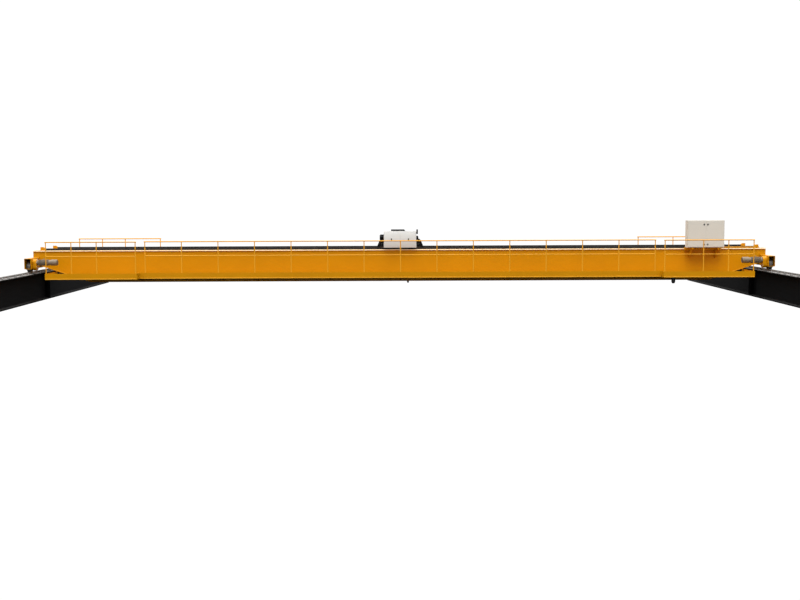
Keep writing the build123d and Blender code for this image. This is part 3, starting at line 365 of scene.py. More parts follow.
def make_finishes(colours):
    """One material for each slot of the record, and those of the fittings."""
    crane, cabinet, box = tuple(colours.crane), tuple(colours.cabinet), tuple(colours.switch_box)
    hoist, railing, drive = tuple(colours.hoist), tuple(colours.railing), tuple(colours.drive)
    runway_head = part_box("runway_rails")[1].z
    trolley_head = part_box("trolley_rails")[1].z
    return {
        "crane_yellow": sprayed_enamel("enamel_crane_yellow", crane, 0.38),
        "drive_grey": sprayed_enamel("enamel_drive_grey", drive, 0.42),
        "cabinet_grey": sprayed_enamel("powder_coat_cabinet_grey", cabinet, 0.45, 3.0, 0.05),
        "box_white": sprayed_enamel("powder_coat_white", box, 0.4, 3.0, 0.05),
        "hoist_black": sprayed_enamel("enamel_hoist_black", hoist, 0.4, 6.0, 0.03),
        # Runway beams: pale upward faces, partly dust and partly painted reflection, with painted shade low
        # down.
        "runway_steel": rolled_steel_black("bitumen_black_rolled_steel", tuple(colours.runway)),
        "rail_steel": rolled_rail_steel("rolled_runway_rail", srgb("8A8885"), srgb("74716E"), runway_head),
        "trolley_rail_steel": rolled_rail_steel(
            "rolled_trolley_rail", srgb("24221F"), srgb("090807"), trolley_head),
        "buffer_rubber": moulded_rubber("moulded_rubber", srgb("1C1C1C")),
        "black_plastic": moulded_black_abs("moulded_black_abs", srgb("1A1A1B")),
        "wheel_iron": cast_iron("cast_iron", srgb("5A5651")),
        "drum_steel": turned_steel("turned_greased_steel", srgb("6A6864")),
        "rope_steel": turned_steel("greased_wire_rope", srgb("5C5852")),
        "hook_steel": cast_iron("forged_black_steel", srgb("2A2A2A")),
        "chequer_plate": sprayed_chequer_plate("enamel_on_chequer_plate", crane),
        # The pale cream given to the flange edges is a painted highlight.
        "flange_yellow": enamel_with_painted_highlight_edges("enamel_with_painted_highlight_edges", crane, srgb("FDEBC8")),
        # A lighter copy of the crane enamel: painted light for the railings and the toe board lips.
        "railing_yellow_painted_light": sprayed_enamel("enamel_railing_yellow", railing, 0.42),
        "cast_clips": sprayed_enamel("dusty_painted_clips", srgb("7A7774"), 0.6),
        "zinc": zinc_plated_steel("zinc_plated_steel", srgb("A8A9A8")),
    }


# Mesh tools


def shell(bm, rings, closed=False):
    """Skins a row of rings of points. A ring of one point closes an end."""
    rings = [[bm.verts.new(point) for point in ring] for ring in rings]
    pairs = list(zip(rings, rings[1:]))
    if closed:
        pairs.append((rings[-1], rings[0]))
    for near, far in pairs:
        for i in range(max(len(near), len(far))):
            j = i + 1
            ring = [near[i % len(near)], near[j % len(near)], far[j % len(far)], far[i % len(far)]]
            corners = list(dict.fromkeys(ring))
            if len(corners) > 2:
                bm.faces.new(corners)
    if not closed:
        for ring in (rings[0], rings[-1]):
            if len(ring) > 2:
                bm.faces.new(ring)


def turned(bm, place, axis, profile, sides=20):
    """A shape turned about an axis through place, from steps of distance along it and radius."""
    turn = Vector(axis).to_track_quat("Z", "Y").to_matrix()
    rings = []
    for along, radius in profile:
        count = sides if radius else 1
        angles = [math.tau * i / count for i in range(count)]
        spokes = [Vector((radius * math.cos(angle), radius * math.sin(angle), along)) for angle in angles]
        rings.append([Vector(place) + turn @ spoke for spoke in spokes])
    shell(bm, rings)


def bar(bm, points, radius, sides=10, closed=False, lay=None):
    """A round bar along a line of points. With a lay it has six strands that turn once in that length."""
    points = [Vector(point) for point in points]
    side, travelled, rings = None, 0.0, []
    for i, point in enumerate(points):
        before = points[i - 1] if i or closed else point
        after = points[(i + 1) % len(points)] if i + 1 < len(points) or closed else point
        ahead = (after - before).normalized()
        side = side or ahead.orthogonal()
        side = (side - side.project(ahead)).normalized()
        up = ahead.cross(side)
        travelled += (point - before).length if i else 0.0
        twist = math.tau * travelled / lay if lay else 0.0
        ring = []
        for k in range(sides):
            angle = math.tau * k / sides
            reach = radius * (1 - STRAND_GROOVE * math.cos(3 * angle) ** 2) if lay else radius
            ring.append(point + reach * (math.cos(angle + twist) * side + math.sin(angle + twist) * up))
        rings.append(ring)
    shell(bm, rings, closed)


def block(bm, a, b, bevel=2 * MM):
    """A block between two corners, its edges rounded."""
    low = Vector([min(pair) for pair in zip(a, b)])
    high = Vector([max(pair) for pair in zip(a, b)])
    made = bmesh.ops.create_cube(bm, size=1, matrix=Matrix.LocRotScale((low + high) / 2, None, high - low))
    edges = list({edge for vert in made["verts"] for edge in vert.link_edges})
    bmesh.ops.bevel(bm, geom=edges, offset=bevel, segments=2, profile=0.5, affect="EDGES")


def plate(bm, outline, shift):
    """A flat outline of points with the thickness and direction of shift."""
    shell(bm, [outline, [Vector(point) + Vector(shift) for point in outline]])


def bolt(bm, place, axis, across):
    """A chamfered hexagon head on its washer, standing on a face."""
    corner = across / math.sqrt(3)
    washer, head, crown = 0.15 * across, 0.75 * across, 0.83 * across
    rim, edge = 1.15 * corner, 0.86 * corner
    turned(bm, place, axis, [(0, 0), (0, rim), (washer, rim), (washer, 0)], 16)
    turned(bm, place, axis, [(washer, 0), (washer, corner), (head, corner), (crown, edge), (crown, 0)], 6)


def circle(centre, first, second, radius, count, start=0.0, turn=math.tau):
    """Points round a centre, from the direction first towards second."""
    centre, first, second = Vector(centre), Vector(first), Vector(second)
    steps = count if abs(turn) >= math.tau else count - 1
    angles = [start + turn * i / steps for i in range(count)]
    return [centre + radius * (math.cos(angle) * first + math.sin(angle) * second) for angle in angles]


def piece(name, bm, body, slot, finish=None):
    """Turns the mesh into a piece that rides on a body, with its slot's finish or one of its own."""
    bmesh.ops.recalc_face_normals(bm, faces=bm.faces)
    mesh = bpy.data.meshes.new(name)
    bm.to_mesh(mesh)
    bm.free()
    mesh.materials.append(FINISHES[finish or slot])
    mesh.shade_smooth()
    mesh.set_sharp_from_angle(angle=math.radians(35))
    made = bpy.data.objects.new(name, mesh)
    bpy.context.scene.collection.objects.link(made)
    if body:
        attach(made, body)
    return made


def even(start, end, count):
    """Count values at even steps, with start and end among them."""
    return [start + (end - start) * i / (count - 1) for i in range(count)]


# Operators


class CRANE_OT_finishes(Operator):
    """Give every CAD piece the finish of its slot"""

    bl_idname = "crane.finishes"
    bl_label = "Finishes"

    def execute(self, context):
        FINISHES.update(make_finishes(context.scene.crane_colours))
        slots = {entry["node"]: entry["material_slot"] for entry in frame["record"]["subparts"]}
        finish_names = {name: "chequer_plate" for name in NODES if name.endswith(("_floor", "_floors"))}
        finish_names["girder_top_flanges"] = "flange_yellow"
        finish_names["trolley_rail_stops"] = "crane_yellow"
        # Railings take the lighter copy of the crane enamel as painted light.
        finish_names.update({name: "railing_yellow_painted_light" for name in NODES if "railing" in name})
        for name, node in NODES.items():
            node.data.materials.clear()
            node.data.materials.append(FINISHES[finish_names.get(name, slots[name])])
        return {"FINISHED"}


class CRANE_OT_runway_fittings(Operator):
    """Clip the rails to the runway beams and bolt the buffers to their stops"""

    bl_idname = "crane.runway_fittings"
    bl_label = "Runway fittings"

    def execute(self, context):
        sizes = context.scene.crane_fittings
        low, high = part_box("runway_rails")
        beam_x = high.x - RAIL_FOOT_HALF
        ledge, top = low.z + 0.014, low.z + 0.026
        clips, bolts = bmesh.new(), bmesh.new()
        count = int((high.y - low.y) / sizes.clip_spacing)
        for side in (-1, 1):
            for y in even(low.y + 0.2, high.y - 0.2, count):
                for hand in (-1, 1):
                    nose, shoulder, middle, back = (side * beam_x + hand * offset for offset in CLIP_OFFSETS)
                    block(clips, (shoulder, y - 0.035, low.z), (back, y + 0.035, ledge))
                    block(clips, (nose, y - 0.030, ledge), (back, y + 0.030, top))
                    bolt(bolts, (middle, y, top), (0, 0, 1), sizes.clip_bolt)
        buffer_y, buffer_z = high.y + 0.025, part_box("runway_buffers")[0].z + 0.055
        for side in (-1, 1):
            for end in (-1, 1):
                for x in (-0.085, 0.085):
                    for z in (-0.03, 0.03):
                        place = (side * beam_x + x, end * buffer_y, buffer_z + z)
                        bolt(bolts, place, (0, end, 0), sizes.clip_bolt * 0.7)
        piece("rail_clips", clips, "runway", "runway_steel", "cast_clips")
        piece("rail_clip_bolts", bolts, "runway", "runway_steel", "zinc")
        return {"FINISHED"}


class CRANE_OT_girder_welds(Operator):
    """Run the weld beads along the corners of the box girders"""

    bl_idname = "crane.girder_welds"
    bl_label = "Girder welds"

    def execute(self, context):
        leg = context.scene.crane_fittings.weld_leg
        web_low, web_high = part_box("girder_webs")
        flange_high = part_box("girder_bottom_flanges")[1]
        beads = bmesh.new()
        end_x, flat_x = flange_high.x, flange_high.x - GIRDER_TAPER
        for y in GIRDER_SIDES:
            bar(beads, [(web_low.x, y, web_high.z), (web_high.x, y, web_high.z)], leg, 8)
            below = [(-end_x, flange_high.z), (-flat_x, web_low.z)]
            below += [(-x, z) for x, z in reversed(below)]
            bar(beads, [(x, y, z) for x, z in below], leg, 8)
        piece("girder_weld_beads", beads, "bridge", "crane_yellow")
        return {"FINISHED"}


class CRANE_OT_carriage_fittings(Operator):
    """Bolt the wheel bearings to the end carriages"""

    bl_idname = "crane.carriage_fittings"
    bl_label = "Carriage fittings"

    def execute(self, context):
        sizes = context.scene.crane_fittings
        outer_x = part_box("end_carriage_right")[1].x
        inner_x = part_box("end_carriage_right")[0].x
        bolts = bmesh.new()
        for row, names in ((-1, "wheel_front_"), (1, "wheel_rear_")):
            for side, word in ((-1, "left"), (1, "right")):
                low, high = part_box(names + word)
                y, z = (low.y + high.y) / 2, (low.z + high.z) / 2
                faces = [(side * (outer_x + 0.014), side)]
                if row > 0:
                    faces.append((side * (inner_x - 0.014), -side))
                for x, outward in faces:
                    for place in circle((x, y, z), (0, 1, 0), (0, 0, 1), 0.078, 6):
                        bolt(bolts, place, (outward, 0, 0), sizes.bearing_bolt)
        piece("bearing_bolts", bolts, "bridge", "crane_yellow", "zinc")
        return {"FINISHED"}


def fan_grille(guard, dark, centre, outward, radius):
    """Rings and spokes over a black disc across the end of a motor's fan cowl, painted shade in place of its
    opening.
    """
    x, y, z = centre
    # A thin black disc: painted shade where the cowl's opening is.
    turned(dark, centre, (outward, 0, 0), [(0, 0), (0, radius), (0.002, radius), (0.002, 0)], 32)
    for share in (0.28, 0.52, 0.76, 1.0):
        ring = circle((x + outward * 0.006, y, z), (0, 1, 0), (0, 0, 1), radius * share, 32)
        bar(guard, ring, 0.002, 6, closed=True)
    for spoke in circle((x + outward * 0.006, y, z), (0, 1, 0), (0, 0, 1), radius, 8):
        bar(guard, [(x + outward * 0.006, y, z), spoke], 0.002, 6)


class CRANE_OT_drive_fittings(Operator):
    """Give the travel drives their fan grilles, lids, eye bolts and cover bolts"""

    bl_idname = "crane.drive_fittings"
    bl_label = "Drive fittings"

    def execute(self, context):
        sizes = context.scene.crane_fittings
        motor_low, motor_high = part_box("travel_motors")
        gear_low, gear_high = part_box("travel_gearboxes")
        wheel_low, wheel_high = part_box("wheel_front_right")
        motor_radius, fan_x, body_x = 0.098, 10.950, 11.380
        y = motor_low.y + motor_radius
        motor_z = motor_low.z + motor_radius
        wheel_z = (wheel_low.z + wheel_high.z) / 2
        guard, dark, fittings, bolts = bmesh.new(), bmesh.new(), bmesh.new(), bmesh.new()
        for side in (-1, 1):
            fan_grille(guard, dark, (side * fan_x, y, motor_z), -side, 0.080)
            lid_y = motor_high.y
            x = side * body_x
            block(fittings, (x - 0.052, lid_y, motor_z - 0.045), (x + 0.052, lid_y + 0.006, motor_z + 0.045))
            for dx in (-0.042, 0.042):
                for dz in (-0.035, 0.035):
                    bolt(bolts, (x + dx, lid_y + 0.006, motor_z + dz), (0, 1, 0), sizes.cover_screw)
            gland = [(0, 0), (0, 0.016), (0.018, 0.016), (0.018, 0.012), (0.034, 0.010), (0.034, 0)]
            turned(dark, (x, lid_y - 0.030, motor_z - 0.048), (0, 0, -1), gland, 12)
            eye = circle((x, y, motor_z + motor_radius + 0.022), (1, 0, 0), (0, 0, 1), 0.016, 20)
            bar(fittings, eye, 0.005, 8, closed=True)
            turned(
                fittings, (x, y, motor_z + motor_radius - 0.016), (0, 0, 1),
                [(0, 0), (0, 0.018), (0.018, 0.018), (0.024, 0.008), (0.024, 0)],
            )
            face = side * (gear_high.x - 0.130)
            for centre, start in ((wheel_z, math.pi), (motor_z, 0.0)):
                for place in circle((face, y, centre), (0, 1, 0), (0, 0, 1), 0.094, 6, start, math.pi):
                    bolt(bolts, place, (-side, 0, 0), sizes.cover_screw * 1.2)
            for place in circle((face - side * 0.014, y, wheel_z), (0, 1, 0), (0, 0, 1), 0.040, 4, 0.785):
                bolt(bolts, place, (-side, 0, 0), sizes.cover_screw)
        piece("travel_fan_guards", guard, "bridge", "drive_grey")
        # Black discs of painted shade in the fan cowls, with the cable glands.
        piece("travel_fan_painted_shade_and_glands", dark, "bridge", "black_plastic")
        piece("travel_motor_fittings", fittings, "bridge", "drive_grey")
        piece("travel_drive_bolts", bolts, "bridge", "drive_grey", "zinc")
        return {"FINISHED"}


class CRANE_OT_railing_fittings(Operator):
    """Stand the railing posts on bolted feet, cap the rails and give the toe boards their lips"""

    bl_idname = "crane.railing_fittings"
    bl_label = "Railing fittings"

    def execute(self, context):
        sizes = context.scene.crane_fittings
        overhang = 0.024
        weld = [(0, 0), (0, 0.020), (0.003, 0.019), (0.008, 0.0155), (0.008, 0)]
        dome = [(0, 0), (0, 0.017), (0.003, 0.0165), (0.006, 0.013), (0.008, 0.006), (0.0085, 0)]
        half = sizes.post_foot / 2
        feet, bolts = bmesh.new(), bmesh.new()
        for name in NODES:
            if "railing" not in name:
                continue
            low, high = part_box(name)
            y, top = (low.y + high.y) / 2, high.z - 0.017
            inward = 1 if y < 0 else -1
            sole = low.z + 0.008
            start, end = low.x + overhang, high.x - overhang
            if name == "gangway_railing":
                places = even(start, end, 15)
            else:
                places = [start + step if start > 0 else end - step for step in PLATFORM_POSTS]
            for x in places:
                block(feet, (x - half, y - inward * 0.016, low.z), (x + half, y + inward * 0.044, sole))
                for dx in (-0.028, 0.028):
                    bolt(bolts, (x + dx, y + inward * 0.030, sole), (0, 0, 1), sizes.cover_screw * 1.2)
                turned(feet, (x, y, sole), (0, 0, 1), weld)
                turned(feet, (x, y, top - 0.012), (0, 0, -1), weld)
            for x, outward in ((low.x, -1), (high.x, 1)):
                turned(feet, (x, y, top), (outward, 0, 0), dome)
        lips = bmesh.new()
        toe_low, toe_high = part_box("gangway_toe_board")
        self.lip(lips, toe_low.x, toe_high.x, toe_low.y, -1, toe_low.z)
        outer_low, outer_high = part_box("platform_toe_boards")
        for start, end in ((outer_low.x, toe_low.x), (toe_high.x, outer_high.x)):
            for face, outward in ((outer_low.y, -1), (outer_high.y, 1)):
                self.lip(lips, start, end, face, outward, outer_low.z)
        # The lips take the lighter railing enamel as a painted highlight along the toe boards' lower edges.
        piece("toe_board_lips", lips, "bridge", "crane_yellow", "railing_yellow_painted_light")
        piece("railing_feet_and_caps", feet, "bridge", "crane_yellow", "railing_yellow_painted_light")
        piece("railing_foot_bolts", bolts, "bridge", "crane_yellow", "zinc")
        return {"FINISHED"}

    def lip(self, lips, start, end, face, outward, bottom):
        """The folded lip that stiffens the lower edge of a toe board."""
        block(lips, (start, face, bottom), (end, face + outward * 0.010, bottom + 0.030), 0.003)


class CRANE_OT_cabinet_fittings(Operator):
    """Fit the control cabinet's locks, cable glands and bolts, and the lids of its duct"""

    bl_idname = "crane.cabinet_fittings"
    bl_label = "Cabinet fittings"

    def execute(self, context):
        sizes = context.scene.crane_fittings
        low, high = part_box("cabinet_body")
        middle = (low.x + high.x) / 2
        ring = [(0, 0), (0, 0.030), (0.003, 0.028), (0.003, 0)]
        insert = [(0, 0), (0, 0.013), (0.003, 0.013), (0.003, 0.006), (0.001, 0.005), (0.001, 0)]
        gland = [(0, 0), (0, 0.020), (0.020, 0.020), (0.020, 0.015), (0.034, 0.012), (0.034, 0)]
        flat_head = [(0, 0), (0, 0.007), (0.002, 0.006), (0.002, 0)]
        for side, word in ((-1, "left"), (1, "right")):
            door_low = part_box("cabinet_door_" + word)[0]
            locks = bmesh.new()
            for z in (low.z + 0.100, high.z - 0.135):
                x = middle + side * 0.0595
                face = door_low.y + 0.009
                turned(locks, (x, face, z), (0, -1, 0), ring, 24)
                turned(locks, (x, door_low.y, z), (0, -1, 0), insert, 24)
            piece("cabinet_locks_" + word, locks, "cabinet_door_" + word, "black_plastic")
        glands, lids, bolts = bmesh.new(), bmesh.new(), bmesh.new()
        for x in even(low.x + 0.30, high.x - 0.45, 6):
            turned(glands, (x, (low.y + high.y) / 2, low.z), (0, 0, -1), gland, 12)
        duct_low, duct_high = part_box("cable_duct")
        lid_front, screw_y, lid_back = -0.902, -0.8725, -0.843
        lid_top = duct_high.z + 0.003
        lid_ends = even(duct_low.x + 0.056, duct_high.x, 4)
        for start, end in zip(lid_ends, lid_ends[1:]):
            block(lids, (start + 0.002, lid_front, duct_high.z), (end - 0.002, lid_back, lid_top), 0.001)
            for x in (start + 0.03, end - 0.03):
                turned(bolts, (x, screw_y, lid_top), (0, 0, 1), flat_head, 12)
        for x in (low.x + 0.180, high.x - 0.180):
            for y in (-1.240, -1.100):
                bolt(bolts, (x + 0.018, y, low.z + 0.003), (0, 0, 1), sizes.cover_screw * 1.5)
        piece("cabinet_glands", glands, "bridge", "black_plastic")
        piece("cable_duct_lids", lids, "bridge", "crane_yellow")
        piece("cabinet_and_duct_bolts", bolts, "bridge", "crane_yellow", "zinc")
        return {"FINISHED"}


class CRANE_OT_horn_fittings(Operator):
    """Ring the warning horn with its cooling ribs"""

    bl_idname = "crane.horn_fittings"
    bl_label = "Horn fittings"

    def execute(self, context):
        low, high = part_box("warning_horn")
        x, y = (low.x + high.x) / 2, (low.y + high.y) / 2
        radius = (high.x - low.x) / 2
        ribs = bmesh.new()
        for z in even(low.z + 0.070, low.z + 0.180, 5):
            bar(ribs, circle((x, y, z), (1, 0, 0), (0, 1, 0), radius, 40), 0.003, 8, closed=True)
        piece("warning_horn_ribs", ribs, "bridge", "black_plastic")
        return {"FINISHED"}


class CRANE_OT_trolley_fittings(Operator):
    """Give the trolley its axle caps, the hoist its grille and bolts, and the switch box its doors"""

    bl_idname = "crane.trolley_fittings"
    bl_label = "Trolley fittings"

    def execute(self, context):
        sizes = context.scene.crane_fittings
        caps, bolts = bmesh.new(), bmesh.new()
        truck_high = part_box("trolley_truck_rear")[1]
        cap = [(0, 0), (0, 0.044), (0.008, 0.044), (0.012, 0.030), (0.016, 0.028), (0.016, 0)]
        gland = [(0, 0), (0, 0.018), (0.018, 0.018), (0.018, 0.013), (0.030, 0.011), (0.030, 0)]
        for word in ("left", "right"):
            low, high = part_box("trolley_wheelset_" + word)
            x, z = (low.x + high.x) / 2, (low.z + high.z) / 2
            for row in (-1, 1):
                face = row * truck_high.y
                turned(caps, (x, face, z), (0, row, 0), cap, 28)
                for place in circle((x, face + row * 0.008, z), (1, 0, 0), (0, 0, 1), 0.036, 4, 0.785):
                    bolt(bolts, place, (0, row, 0), 0.010)
        gear_low, gear_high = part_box("hoist_gearbox")
        cover = bmesh.new()
        block(
            cover, (gear_high.x, gear_low.y + 0.03, gear_low.z + 0.02),
            (gear_high.x + 0.008, gear_high.y - 0.03, gear_high.z - 0.02), 0.004,
        )
        for y in even(gear_low.y + 0.045, gear_high.y - 0.045, 5):
            for z in (gear_low.z + 0.032, gear_high.z - 0.032):
                bolt(bolts, (gear_high.x + 0.008, y, z), (1, 0, 0), 0.016)
        hood_low, hood_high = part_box("hoist_hood")
        for x in even(hood_low.x + 0.03, hood_high.x - 0.05, 6):
            for y, out in ((hood_low.y, -1), (hood_high.y, 1)):
                bolt(bolts, (x, y, hood_low.z + 0.015), (0, out, 0), sizes.cover_screw)
        guard, dark = bmesh.new(), bmesh.new()
        motor_low, motor_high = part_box("hoist_motor")
        fan_grille(guard, dark, (motor_low.x, 0, (motor_low.z + motor_high.z) / 2), -1, 0.090)
        box_low, box_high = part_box("trolley_switch_box")
        doors, latches = bmesh.new(), bmesh.new()
        middle, face = (box_low.x + box_high.x) / 2, box_low.y
        door_low, door_high = box_low.z + 0.018, box_high.z - 0.018
        for left, right in ((box_low.x + 0.015, middle - 0.003), (middle + 0.003, box_high.x - 0.015)):
            block(doors, (left, face, door_low), (right, face - 0.004, door_high), 0.0015)
        latch_low, latch_high = 1.923, 1.983
        for x in (middle - 0.279, middle + 0.273):
            block(latches, (x - 0.018, face - 0.004, latch_low), (x + 0.018, face - 0.018, latch_high), 0.003)
        for x in even(box_low.x + 0.20, box_high.x - 0.20, 4):
            turned(latches, (x, box_high.y, truck_high.z + 0.035), (0, 1, 0), gland, 12)
        piece("trolley_axle_caps", caps, "trolley", "hoist_black")
        piece("hoist_gearbox_cover", cover, "trolley", "hoist_black")
        piece("trolley_bolts", bolts, "trolley", "hoist_black", "zinc")
        piece("hoist_fan_guard", guard, "trolley", "hoist_black")
        # A black disc of painted shade in the hoist motor's fan cowl.
        piece("hoist_fan_painted_shade", dark, "trolley", "black_plastic")
        piece("switch_box_doors", doors, "trolley", "box_white")
        piece("switch_box_latches_and_glands", latches, "trolley", "black_plastic")
        return {"FINISHED"}


class CRANE_OT_ropes(Operator):
    """Wind the wire rope on the drum and reeve it round the sheaves"""

    bl_idname = "crane.ropes"
    bl_label = "Ropes"

    def execute(self, context):
        lay = context.scene.crane_fittings.rope_lay
        rope_low, rope_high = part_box("hoist_ropes")
        sheave_low, sheave_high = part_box("upper_sheave")
        radius = 0.0065
        near_x, far_x = rope_low.x + radius, rope_high.x - radius
        reach = rope_high.y - radius
        drum_z, block_z = rope_high.z, rope_low.z
        upper_z = (sheave_low.z + sheave_high.z) / 2
        anchor_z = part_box("trolley_cross_frame")[0].z

        falls = bmesh.new()
        for x, y, top in (
            (near_x, -reach, drum_z), (near_x, reach, upper_z),
            (far_x, reach, upper_z), (far_x, -reach, anchor_z),
        ):
            count = round((top - block_z) / ROPE_STEP) + 1
            bar(falls, [(x, y, z) for z in even(top, block_z, count)], radius, 18, lay=lay)
        rope = piece("hoist_rope_falls", falls, None, "rope_steel")
        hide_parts("hoist_ropes")
        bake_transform(rope)

        turns = bmesh.new()
        pitch, wound, per_turn = 0.020, 27, 24
        line = []
        for k in range(wound * per_turn + 1):
            whole, phase = divmod(k, per_turn)
            cross = max(0.0, (phase / per_turn - 0.8) / 0.2)
            x = near_x - pitch * (whole + cross * cross * (3 - 2 * cross))
            angle = math.tau * k / per_turn
            line.append((x, -reach * math.cos(angle), drum_z + reach * math.sin(angle)))
        bar(turns, line, radius, 8)
        crown, half_span = ((near_x + far_x) / 2, reach, upper_z), (far_x - near_x) / 2
        over = circle(crown, (-1, 0, 0), (0, 0, 1), half_span, 40, 0.0, math.pi)
        bar(turns, over, radius, 18, lay=lay)
        piece("drum_and_sheave_rope", turns, "trolley", "rope_steel")

        under = bmesh.new()
        for x in (near_x, far_x):
            arc = circle((x, 0, block_z), (0, -1, 0), (0, 0, -1), reach, 50, 0.0, math.pi)
            bar(under, arc, radius, 18, lay=lay)
        piece("block_sheave_rope", under, "hook_block", "rope_steel")

        socket = bmesh.new()
        cone = [(0, 0), (0, 0.016), (0.012, 0.018), (0.070, 0.011), (0.074, 0.0066), (0.074, 0)]
        turned(socket, (far_x, -reach, anchor_z), (0, 0, -1), cone)
        piece("rope_end_socket", socket, "trolley", "hook_steel")
        return {"FINISHED"}


class CRANE_OT_hook_fittings(Operator):
    """Give the hook its latch and the hook block its pin nuts and keepers"""

    bl_idname = "crane.hook_fittings"
    bl_label = "Hook fittings"

    def execute(self, context):
        hook_low, hook_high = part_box("hook")
        block_low, block_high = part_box("hook_block")
        x = (hook_low.x + hook_high.x) / 2
        ring_z = hook_low.z + 0.142
        pivot = Vector((x, -0.050, ring_z + 0.112))
        latch = bmesh.new()
        tongue = [
            (x - 0.015, -0.046, ring_z + 0.050), (x - 0.015, -0.058, ring_z + 0.048),
            (x - 0.015, -0.082, ring_z + 0.018), (x - 0.015, -0.074, ring_z + 0.010),
        ]
        plate(latch, tongue, (0.030, 0, 0))
        for side in (-1, 1):
            cheek = [
                (x + side * 0.039, -0.064, ring_z + 0.118), (x + side * 0.039, -0.034, ring_z + 0.118),
                (x + side * 0.039, -0.042, ring_z + 0.046), (x + side * 0.039, -0.060, ring_z + 0.044),
            ]
            plate(latch, cheek, (side * 0.004, 0, 0))
        block(latch, (x - 0.043, -0.060, ring_z + 0.042), (x + 0.043, -0.044, ring_z + 0.048), 0.001)
        bar(latch, [pivot - Vector((0.048, 0, 0)), pivot + Vector((0.048, 0, 0))], 0.006, 12)
        piece("hook_latch", latch, "hook", "hook_steel", "zinc")
        nuts = bmesh.new()
        block_z = (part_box("block_sheaves")[0].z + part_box("block_sheaves")[1].z) / 2
        crosshead_z = block_low.z + 0.060
        for face, out in ((block_low.x, -1), (block_high.x, 1)):
            for z, across in ((block_z, 0.055), (crosshead_z, 0.065)):
                bolt(nuts, (face, 0, z), (out, 0, 0), across)
                keeper = (face, -0.045, z + 0.044), (face + out * 0.006, 0.045, z + 0.060)
                block(nuts, *keeper, 0.001)
                for y in (-0.032, 0.032):
                    bolt(nuts, (face + out * 0.006, y, z + 0.052), (out, 0, 0), 0.010)
        piece("hook_block_nuts", nuts, "hook_block", "crane_yellow", "zinc")
        return {"FINISHED"}


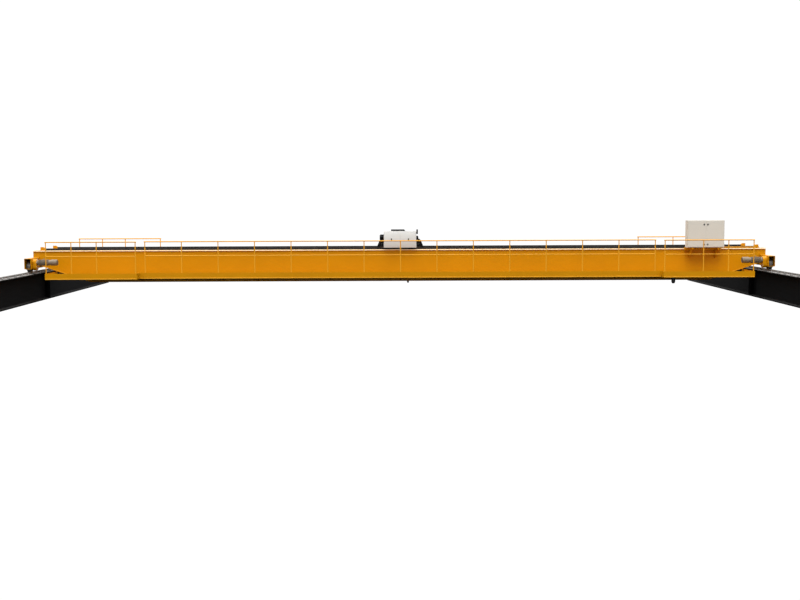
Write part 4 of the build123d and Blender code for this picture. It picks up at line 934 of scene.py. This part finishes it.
class CRANE_OT_stage(Operator):
    """Lay the floor, light it softly and stand the camera where the picture was taken"""

    bl_idname = "crane.stage"
    bl_label = "Stage"

    def execute(self, context):
        settings = context.scene.crane_stage
        self.lay_floor(settings.floor_depth)
        self.light(context.scene)
        self.stand_camera(context.scene, settings)
        context.scene.view_settings.view_transform = "Standard"
        return {"FINISHED"}

    def lay_floor(self, depth):
        """A white floor that reaches far out and gives its own light."""
        mesh = bpy.data.meshes.new("shop_floor")
        corners = [(x * FLOOR_HALF, y * FLOOR_HALF, -depth) for x, y in ((-1, -1), (1, -1), (1, 1), (-1, 1))]
        mesh.from_pydata(corners, [], [(0, 1, 2, 3)])
        floor = bpy.data.objects.new("shop_floor", mesh)
        bpy.context.scene.collection.objects.link(floor)
        material, tree, shader, place = start_material("white_painted_sweep")
        tone = shades(tree, noise(tree, place, 0.2, 4.0), (0.99, 0.99, 0.99), 0.995, 1.0)
        tree.links.new(tone, shader.inputs["Emission Color"])
        shader.inputs["Emission Strength"].default_value = 1.05
        shader.inputs["Base Color"].default_value = (0.0, 0.0, 0.0, 1)
        shader.inputs["Roughness"].default_value = 0.9
        shader.inputs["Specular IOR Level"].default_value = 0.0
        mesh.materials.append(material)
        floor.visible_diffuse = False
        floor.visible_glossy = False

    def light(self, scene):
        """A hall's light: bright from the roof, half as bright all round and dark from below."""
        world = bpy.data.worlds.new("studio")
        world.use_nodes = True
        tree = world.node_tree
        direction = add(tree, "ShaderNodeTexCoord").outputs["Generated"]
        ramp = add(tree, "ShaderNodeValToRGB", {"Fac": remap(tree, level(tree, direction), -1.0, 1.0)})
        ramp.color_ramp.elements[0].position = 0.47
        ramp.color_ramp.elements[0].color = (0.02, 0.02, 0.02, 1)
        ramp.color_ramp.elements[1].position = 0.49
        ramp.color_ramp.elements[1].color = (0.5, 0.5, 0.5, 1)
        for position, value in ((0.75, 0.5), (0.87, 1.0)):
            stop = ramp.color_ramp.elements.new(position)
            stop.color = (value, value, value, 1)
        background = tree.nodes["Background"]
        tree.links.new(ramp.outputs["Color"], background.inputs["Color"])
        background.inputs["Strength"].default_value = 2.1
        scene.world = world
        for name, elevation, azimuth, strength in (
            ("roof_front", 62, -12, 2.6), ("roof_back", 68, 165, 1.2),
            ("roof_left", 64, -100, 0.7), ("roof_right", 64, 80, 0.7),
        ):
            data = bpy.data.lights.new(name, "SUN")
            data.energy = strength
            data.angle = math.radians(35)
            lamp = bpy.data.objects.new(name, data)
            lamp.rotation_euler = Euler((math.radians(90 - elevation), 0, math.radians(azimuth)))
            scene.collection.objects.link(lamp)

    def stand_camera(self, scene, settings):
        """Stands the camera where the settings place it."""
        data = bpy.data.cameras.new("camera")
        data.lens = settings.lens
        data.clip_end = CAMERA_REACH
        camera = bpy.data.objects.new("camera", data)
        camera.location = settings.camera_place
        camera.rotation_euler = Euler(settings.camera_turn)
        scene.collection.objects.link(camera)
        scene.camera = camera


class CRANE_PT_sidebar(Panel):
    """Lists the crane's operators, sizes and colours"""

    bl_idname = "CRANE_PT_sidebar"
    bl_label = "Overhead crane"
    bl_space_type = "VIEW_3D"
    bl_region_type = "UI"
    bl_category = "Crane"

    def draw(self, context):
        for group in (context.scene.crane_colours, context.scene.crane_fittings, context.scene.crane_stage):
            for name in group.__annotations__:
                self.layout.prop(group, name)
        for operator in OPERATORS:
            self.layout.operator(operator.bl_idname)


OPERATORS = (
    CRANE_OT_finishes,
    CRANE_OT_runway_fittings,
    CRANE_OT_girder_welds,
    CRANE_OT_carriage_fittings,
    CRANE_OT_drive_fittings,
    CRANE_OT_railing_fittings,
    CRANE_OT_cabinet_fittings,
    CRANE_OT_horn_fittings,
    CRANE_OT_trolley_fittings,
    CRANE_OT_ropes,
    CRANE_OT_hook_fittings,
    CRANE_OT_stage,
)
CLASSES = (CraneColours, FittingSizes, StageSettings) + OPERATORS + (CRANE_PT_sidebar,)


def register():
    for item in CLASSES:
        bpy.utils.register_class(item)
    bpy.types.Scene.crane_colours = PointerProperty(type=CraneColours)
    bpy.types.Scene.crane_fittings = PointerProperty(type=FittingSizes)
    bpy.types.Scene.crane_stage = PointerProperty(type=StageSettings)


def unregister():
    del bpy.types.Scene.crane_stage
    del bpy.types.Scene.crane_fittings
    del bpy.types.Scene.crane_colours
    for item in reversed(CLASSES):
        bpy.utils.unregister_class(item)


def main():
    register()
    for operator in OPERATORS:
        group, name = operator.bl_idname.split(".")
        getattr(getattr(bpy.ops, group), name)()


if __name__ == "__main__":
    main()
